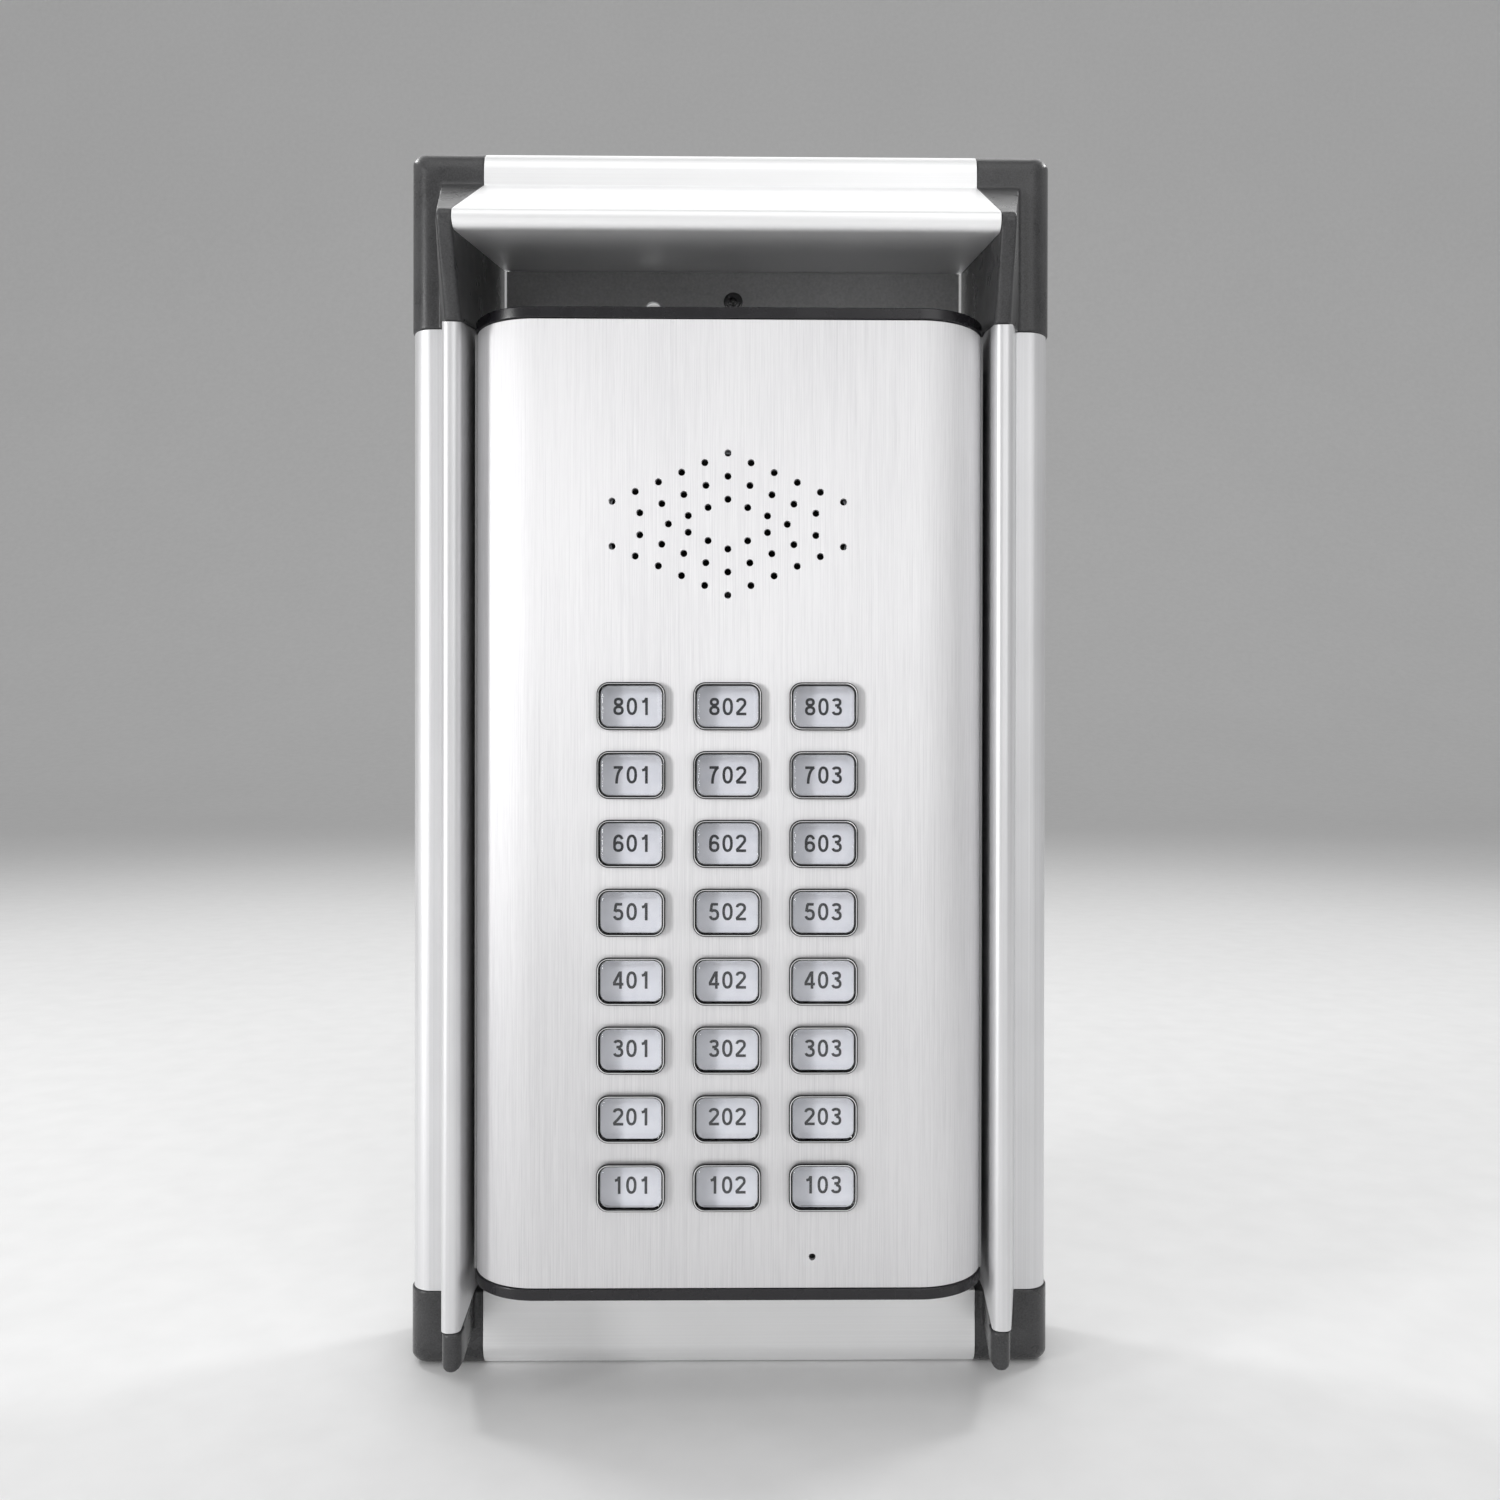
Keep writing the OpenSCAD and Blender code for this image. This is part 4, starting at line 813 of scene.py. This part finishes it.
def make_faceplate():
    """One brushed sheet: flat in the middle with all its openings, its sides rolled back."""
    arc_end = math.acos((FACE_X - FACE_FLAT_X) / FACE_SIDE_R)
    swing = math.pi / 2 - arc_end
    unrolled = FACE_FLAT_X + FACE_SIDE_R * swing
    sheet = [(-unrolled, FACE_BOTTOM), (unrolled, FACE_BOTTOM), (unrolled, FACE_TOP), (-unrolled, FACE_TOP)]
    opening = round_rect(BEZEL_W - 2 * BEZEL_RIM + 1.2 * MM, BEZEL_H - 2 * BEZEL_RIM + 1.2 * MM, 3.3 * MM, 6)
    holes = [moved(opening, x, z) for _, x, z, _ in key_places()]
    holes += [circle(x, z, SPEAKER_HOLE_R, 24) for x, z in speaker_holes()]
    holes.append(circle(*MIC_HOLE, SPEAKER_HOLE_R, 24))
    bm = bmesh.new()
    prism(bm, [sheet] + holes, ALONG_Y, FACE_FRONT, FACE_FRONT + FACE_T, 0.15 * MM)
    steps = 24
    for side in (-1, 1):
        for i in range(steps):
            x = side * (FACE_FLAT_X + (unrolled - FACE_FLAT_X) * i / steps)
            bmesh.ops.bisect_plane(bm, geom=bm.verts[:] + bm.edges[:] + bm.faces[:], plane_co=(x, 0, 0),
                                   plane_no=(1, 0, 0), dist=1e-7)
    for v in bm.verts:
        past = abs(v.co.x) - FACE_FLAT_X
        if past > 0:
            turn, r = past / FACE_SIDE_R, FACE_SIDE_R - (v.co.y - FACE_FRONT)
            v.co.x = math.copysign(FACE_FLAT_X + r * math.sin(turn), v.co.x)
            v.co.y = FACE_FRONT + FACE_SIDE_R - r * math.cos(turn)
    for side in (-1, 1):
        rib = [(side * RIB_IN, FACE_FRONT + FACE_T), (side * RIB_OUT, FACE_FRONT + FACE_T),
               (side * RIB_OUT, FACE_FRONT + RIB_DEEP), (side * RIB_IN, FACE_FRONT + RIB_DEEP)]
        prism(bm, [rib], ALONG_Z, FACE_BOTTOM + 2 * MM, FACE_TOP - 2 * MM)
    piece("faceplate", finish_mesh(bm, "faceplate", 25), BRUSHED,
          replaces=["station_faceplate"])


def cap_outline(inset=0):
    """The station's outline from above, up to the caps' edge."""
    r = FACE_SIDE_R + CAP_PROUD - inset
    side_y = FACE_FRONT + FACE_SIDE_R
    x = STATION_X - inset
    end = math.degrees(math.acos(min(1, (x - FACE_FLAT_X) / r)))
    right = arc(FACE_FLAT_X, side_y, r, -90, -end, 24)
    right += [(x, side_y - r * math.sin(math.radians(end)) + 0.5 * MM), (x, HOUSING_BACK - inset)]
    return right + [(-a, b) for a, b in reversed(right)]


def make_end_caps():
    for end in ("top", "bottom"):
        lo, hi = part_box("station_end_cap_" + end)
        bottom, top = (hi.z - CAP_T, hi.z) if end == "top" else (lo.z, lo.z + CAP_T)
        bm = bmesh.new()
        screws = [circle(s * CAP_SCREW[0], CAP_SCREW[1], CAP_SCREW_R + 0.1 * MM) for s in (-1, 1)]
        prism(bm, [cap_outline()] + screws, ALONG_Z, bottom, top, 0.35 * MM)
        ridge = [(-CAP_RIDGE_X, FACE_FRONT + CAP_RIDGE_FRONT), (CAP_RIDGE_X, FACE_FRONT + CAP_RIDGE_FRONT),
                 (CAP_RIDGE_X, FACE_FRONT + CAP_RIDGE_BACK), (-CAP_RIDGE_X, FACE_FRONT + CAP_RIDGE_BACK)]
        inner = (lo.z, bottom + 0.1 * MM) if end == "top" else (top - 0.1 * MM, hi.z)
        prism(bm, [ridge], ALONG_Z, *inner)
        piece("end_cap_" + end, finish_mesh(bm, "end_cap_" + end), CAP,
              replaces=["station_end_cap_" + end])


# ---- Keys ----

def key_ring(x, z, w, h, r, inset, y, steps=8):
    """A rounded rectangle at depth y, drawn in by inset."""
    points = round_rect(w - 2 * inset, h - 2 * inset, max(r - inset, 0.05 * MM), steps)
    return [(x + a, y, z + b) for a, b in points]


def make_bezels():
    """The chrome rims: a full round front, a straight outer side and a skirt through the faceplate; all but
    the crown's front is darkened chrome, a painted dark reflection and painted shade.
    """
    bm = bmesh.new()
    half = BEZEL_RIM / 2
    crown = [(half - half * math.cos(math.radians(a)), BEZEL_FRONT + half - half * math.sin(math.radians(a)))
             for a in range(0, 181, 15)]
    back = FACE_FRONT
    skirt = BEZEL_RIM - SKIRT_WALL
    profile = crown + [(BEZEL_RIM, BEZEL_BACK), (skirt, BEZEL_BACK), (skirt, back), (0.08 * MM, back),
                       (0, back - 0.1 * MM)]
    for _, x, z, _ in key_places():
        loft_ring(bm, [key_ring(x, z, BEZEL_W, BEZEL_H, BEZEL_R, d, y) for d, y in profile])
    rims = piece("bezels", finish_mesh(bm, "bezels", 40), CHROME,
                 replaces=["key_bezels"])
    # Faces turned to the front keep the bright chrome; all other faces get the darkened copy, a painted dark
    # reflection and painted shade.
    rims.data.materials.append(PAINTED_DARK_CHROME)
    for face in rims.data.polygons:
        face.material_index = 0 if face.normal.y < -0.95 else 1


def stroke(bm, points, width, closed, lift):
    """A flat inked line of constant width along points, lying at depth lift."""
    count = len(points)
    sides = []
    for i, p in enumerate(points):
        here = Vector(p)
        last = Vector(points[i - 1]) if closed or i > 0 else None
        following = Vector(points[(i + 1) % count]) if closed or i < count - 1 else None
        a = (here - last).normalized() if last is not None else (following - here).normalized()
        b = (following - here).normalized() if following is not None else a
        normal = Vector((-(a + b).y, (a + b).x)).normalized()
        reach = width / 2 / max(normal.dot(Vector((-a.y, a.x))), 0.4)
        sides.append((here + normal * reach, here - normal * reach))
    rows = [[bm.verts.new((s.x, y, s.y)) for y in (lift, lift + INK_T) for s in pair] for pair in sides]
    last_row = count if closed else count - 1
    for i in range(last_row):
        a, b = rows[i], rows[(i + 1) % count]
        for j, k in ((0, 1), (1, 3), (3, 2), (2, 0)):
            bm.faces.new((a[j], a[k], b[k], b[j]))
    if not closed:
        for row in (rows[0], rows[-1]):
            bm.faces.new((row[0], row[1], row[3], row[2]))


def bow(cx, cy, rx, ry, start, end, steps=24, square=2.3):
    """Points along part of a slightly squared oval."""
    points = []
    for i in range(steps + 1):
        a = math.radians(start + (end - start) * i / steps)
        c, s = math.cos(a), math.sin(a)
        points.append((cx + rx * math.copysign(abs(c) ** (2 / square), c),
                       cy + ry * math.copysign(abs(s) ** (2 / square), s)))
    return points


def digit(number):
    """A plain digit as centre lines, one unit tall: pairs of points and whether the line is closed."""
    s = DIGIT_STROKE / 2
    w, mid = DIGIT_W, DIGIT_W / 2
    r = mid - s
    if number == 0:
        return [(bow(mid, 0.5, r, 0.5 - s, 0, 345, 23), True)]
    if number == 1:
        return [([(0.12, 0.76), (0.24, 0.79), (0.32, 0.86), (0.36, 0.97)], False),
                ([(0.37, 0), (0.37, 1)], False)]
    if number == 2:
        head = bow(mid, 0.715, r, 0.285 - s, 172, -38)
        return [(head + [(0.27, 0.33), (0.09, 0.15), (s, s)], False), ([(0.03, s), (w, s)], False)]
    if number == 3:
        return [(bow(mid - 0.01, 0.75, r - 0.02, 0.25 - s, 160, -90) + [(0.2, 0.5 + s)], False),
                (bow(mid, 0.28, r, 0.28 - s, 90, -165), False)]
    if number == 4:
        return [([(0.39, 0.95), (0.05, 0.3)], False), ([(0, 0.265), (0.6, 0.265)], False),
                ([(0.43, 0), (0.43, 1)], False)]
    if number == 5:
        return [([(0.13, 1 - s), (0.52, 1 - s)], False), ([(0.165, 1 - s), (0.1, 0.5)], False),
                (bow(mid - 0.01, 0.325, r, 0.325 - s, 138, -165), False)]
    if number == 6:
        return [(bow(mid, 0.31, r, 0.31 - s, 0, 345, 23), True),
                (bow(mid + 0.01, 0.5, r + 0.01, 0.5 - s, 195, 30), False)]
    if number == 7:
        return [([(0.02, 1 - s), (0.55, 1 - s)], False),
                (bow(0.62, 0.0, 0.43, 0.95, 100, 180, 16, 2.0), False)]
    return [(bow(mid, 0.755, r - 0.03, 0.245 - s, 0, 345, 23), True),
            (bow(mid, 0.275, r, 0.275 - s, 0, 345, 23), True)]


def make_label(name, text, x, z, y, body):
    """The printed number on a key's card."""
    bm = bmesh.new()
    width = DIGIT_W * DIGIT_H
    start = x - (DIGIT_STEP * (len(text) - 1) + width) / 2
    for i, character in enumerate(text):
        for k, (points, closed) in enumerate(digit(int(character))):
            placed = [(start + i * DIGIT_STEP + a * DIGIT_H, z - DIGIT_H / 2 + b * DIGIT_H)
                      for a, b in points]
            stroke(bm, placed, DIGIT_STROKE * DIGIT_H, closed, y - INK_T * (1 + 0.15 * k))
    piece(name, finish_mesh(bm, name), INK, body)


def make_key(node, x, z, front):
    """A key's clear lens with its bevelled edge, its card, its number and its carrier."""
    number = node[4:]
    lens_back = front + LENS_T
    shape = [(0.15, LENS_T / MM), (0, LENS_T / MM - 0.15), (0, 1.1), (0.06, 0.8), (0.25, 0.45),
             (0.6, 0.2), (1.1, 0.05), (1.5, 0)]
    bm = bmesh.new()
    loft(bm, [key_ring(x, z, KEY_W, KEY_H, KEY_R, d * MM, front + y * MM) for d, y in shape])
    piece("lens_" + number, finish_mesh(bm, "lens_" + number, 60), CLEAR, node, [node])
    card_y = lens_back + CARD_GAP
    bm = bmesh.new()
    loft(bm, [key_ring(x, z, KEY_W, KEY_H, KEY_R, CARD_MARGIN, y) for y in (card_y, card_y + CARD_T)])
    piece("card_" + number, finish_mesh(bm, "card_" + number), CARD, node)
    make_label("number_" + number, number, x, z, card_y, node)
    seat = card_y + CARD_T + CARD_GAP
    bm = bmesh.new()
    loft(bm, [key_ring(x, z, KEY_W, KEY_H, KEY_R, d, y) for d, y in
              ((0.1 * MM, seat), (0, seat + 0.1 * MM), (0, KEY_FLANGE_FRONT + 0.01 * MM))])
    loft(bm, [key_ring(x, z, BEZEL_W - 0.6 * MM, BEZEL_H - 0.6 * MM, BEZEL_R - 0.3 * MM, d, y) for d, y in
              ((0.1 * MM, KEY_FLANGE_FRONT), (0, KEY_FLANGE_FRONT + 0.1 * MM),
               (0, KEY_FLANGE_BACK - 0.1 * MM), (0.1 * MM, KEY_FLANGE_BACK))])
    stem_end = high(node).y
    lathe(bm, [(0, 0), (STEM_R - 0.2 * MM, 0), (STEM_R, -0.2 * MM), (STEM_R, KEY_FLANGE_BACK - stem_end),
               (0, KEY_FLANGE_BACK - stem_end)], (x, stem_end, z), (0, 1, 0), 24)
    piece("carrier_" + number, finish_mesh(bm, "carrier_" + number), INNER, node)


def make_keys():
    for node, x, z, front in key_places():
        make_key(node, x, z, front)


# ---- Camera, floor and light ----

def make_camera():
    camera = bpy.data.cameras.new("camera")
    camera.lens = CAMERA_LENS
    camera.sensor_width = 36
    camera.shift_x, camera.shift_y = CAMERA_SHIFT
    camera.clip_start = 0.01
    camera.dof.use_dof = False
    obj = bpy.data.objects.new("camera", camera)
    SCENE.collection.objects.link(obj)
    obj.location = CAMERA_AT
    obj.rotation_mode = "QUATERNION"
    turn = Quaternion((0, 0, 1), -CAMERA_YAW) @ Quaternion((1, 0, 0), math.pi / 2 + CAMERA_PITCH)
    obj.rotation_quaternion = turn @ Quaternion((0, 0, 1), CAMERA_ROLL)
    SCENE.camera = obj


def make_floor():
    """A wide pale floor under the hood's lowest edge, swept up far behind it."""
    sweep = [(-30, 0)] + [(y + 3, z + 3) for y, z in arc(0, 0, 3, 270, 360, 24)] + [(6, 30)]
    bm = bmesh.new()
    rows = [[bm.verts.new((x, y, z)) for y, z in sweep] for x in (-30, 30)]
    for i in range(len(sweep) - 1):
        bm.faces.new((rows[0][i], rows[1][i], rows[1][i + 1], rows[0][i + 1]))
    mesh = finish_mesh(bm, "floor")
    obj = bpy.data.objects.new("floor", mesh)
    SCENE.collection.objects.link(obj)
    obj.location.z = -TOP_Z - 0.2 * MM
    mesh.materials.append(plain("floor", (0.78, 0.78, 0.78), (0.82, 0.82, 0.82), (0.7, 0.8), 20 * MM,
                                0.05 * MM))


def softbox(name, at, size, radiance, aim=(0, 0, 0)):
    """A rectangular light of this brightness, turned to the object."""
    light = bpy.data.lights.new(name, "AREA")
    light.shape = "RECTANGLE"
    light.size, light.size_y = size
    light.energy = radiance * math.pi * size[0] * size[1]
    obj = bpy.data.objects.new(name, light)
    SCENE.collection.objects.link(obj)
    obj.location = at
    obj.rotation_mode = "QUATERNION"
    obj.rotation_quaternion = (Vector(aim) - Vector(at)).to_track_quat("-Z", "Y")
    obj.visible_camera = False


def make_light():
    world = bpy.data.worlds.new("studio")
    SCENE.world = world
    world.use_nodes = True
    sky = world.node_tree.nodes["Background"]
    sky.inputs["Color"].default_value = (0.9, 0.9, 0.9, 1)
    sky.inputs["Strength"].default_value = 0.5
    softbox("key_light", (-1.35, -0.95, 0.2), (0.25, 0.9), 17)
    softbox("front_right", (0.9, -2.0, 0.7), (1.3, 1.4), 1.3)
    softbox("overhead", (0, -1.0, 1.6), (2.0, 1.2), 1.0)
    softbox("overhead_back", (0, 0.9, 1.5), (2.0, 1.0), 1.2)
    for side in (-1, 1):
        softbox("rim_left" if side < 0 else "rim_right", (side * 1.1, 0.6, 1.2), (0.35, 0.35), 16)
    SCENE.view_settings.view_transform = "Standard"


# ---- Assembly ----

dress_cad_nodes()
make_side_rails()
make_top_rail()
make_bottom_rail()
make_corners()
make_rivets()
make_screws()
make_faceplate()
make_end_caps()
make_bezels()
make_keys()
make_camera()
make_floor()
make_light()
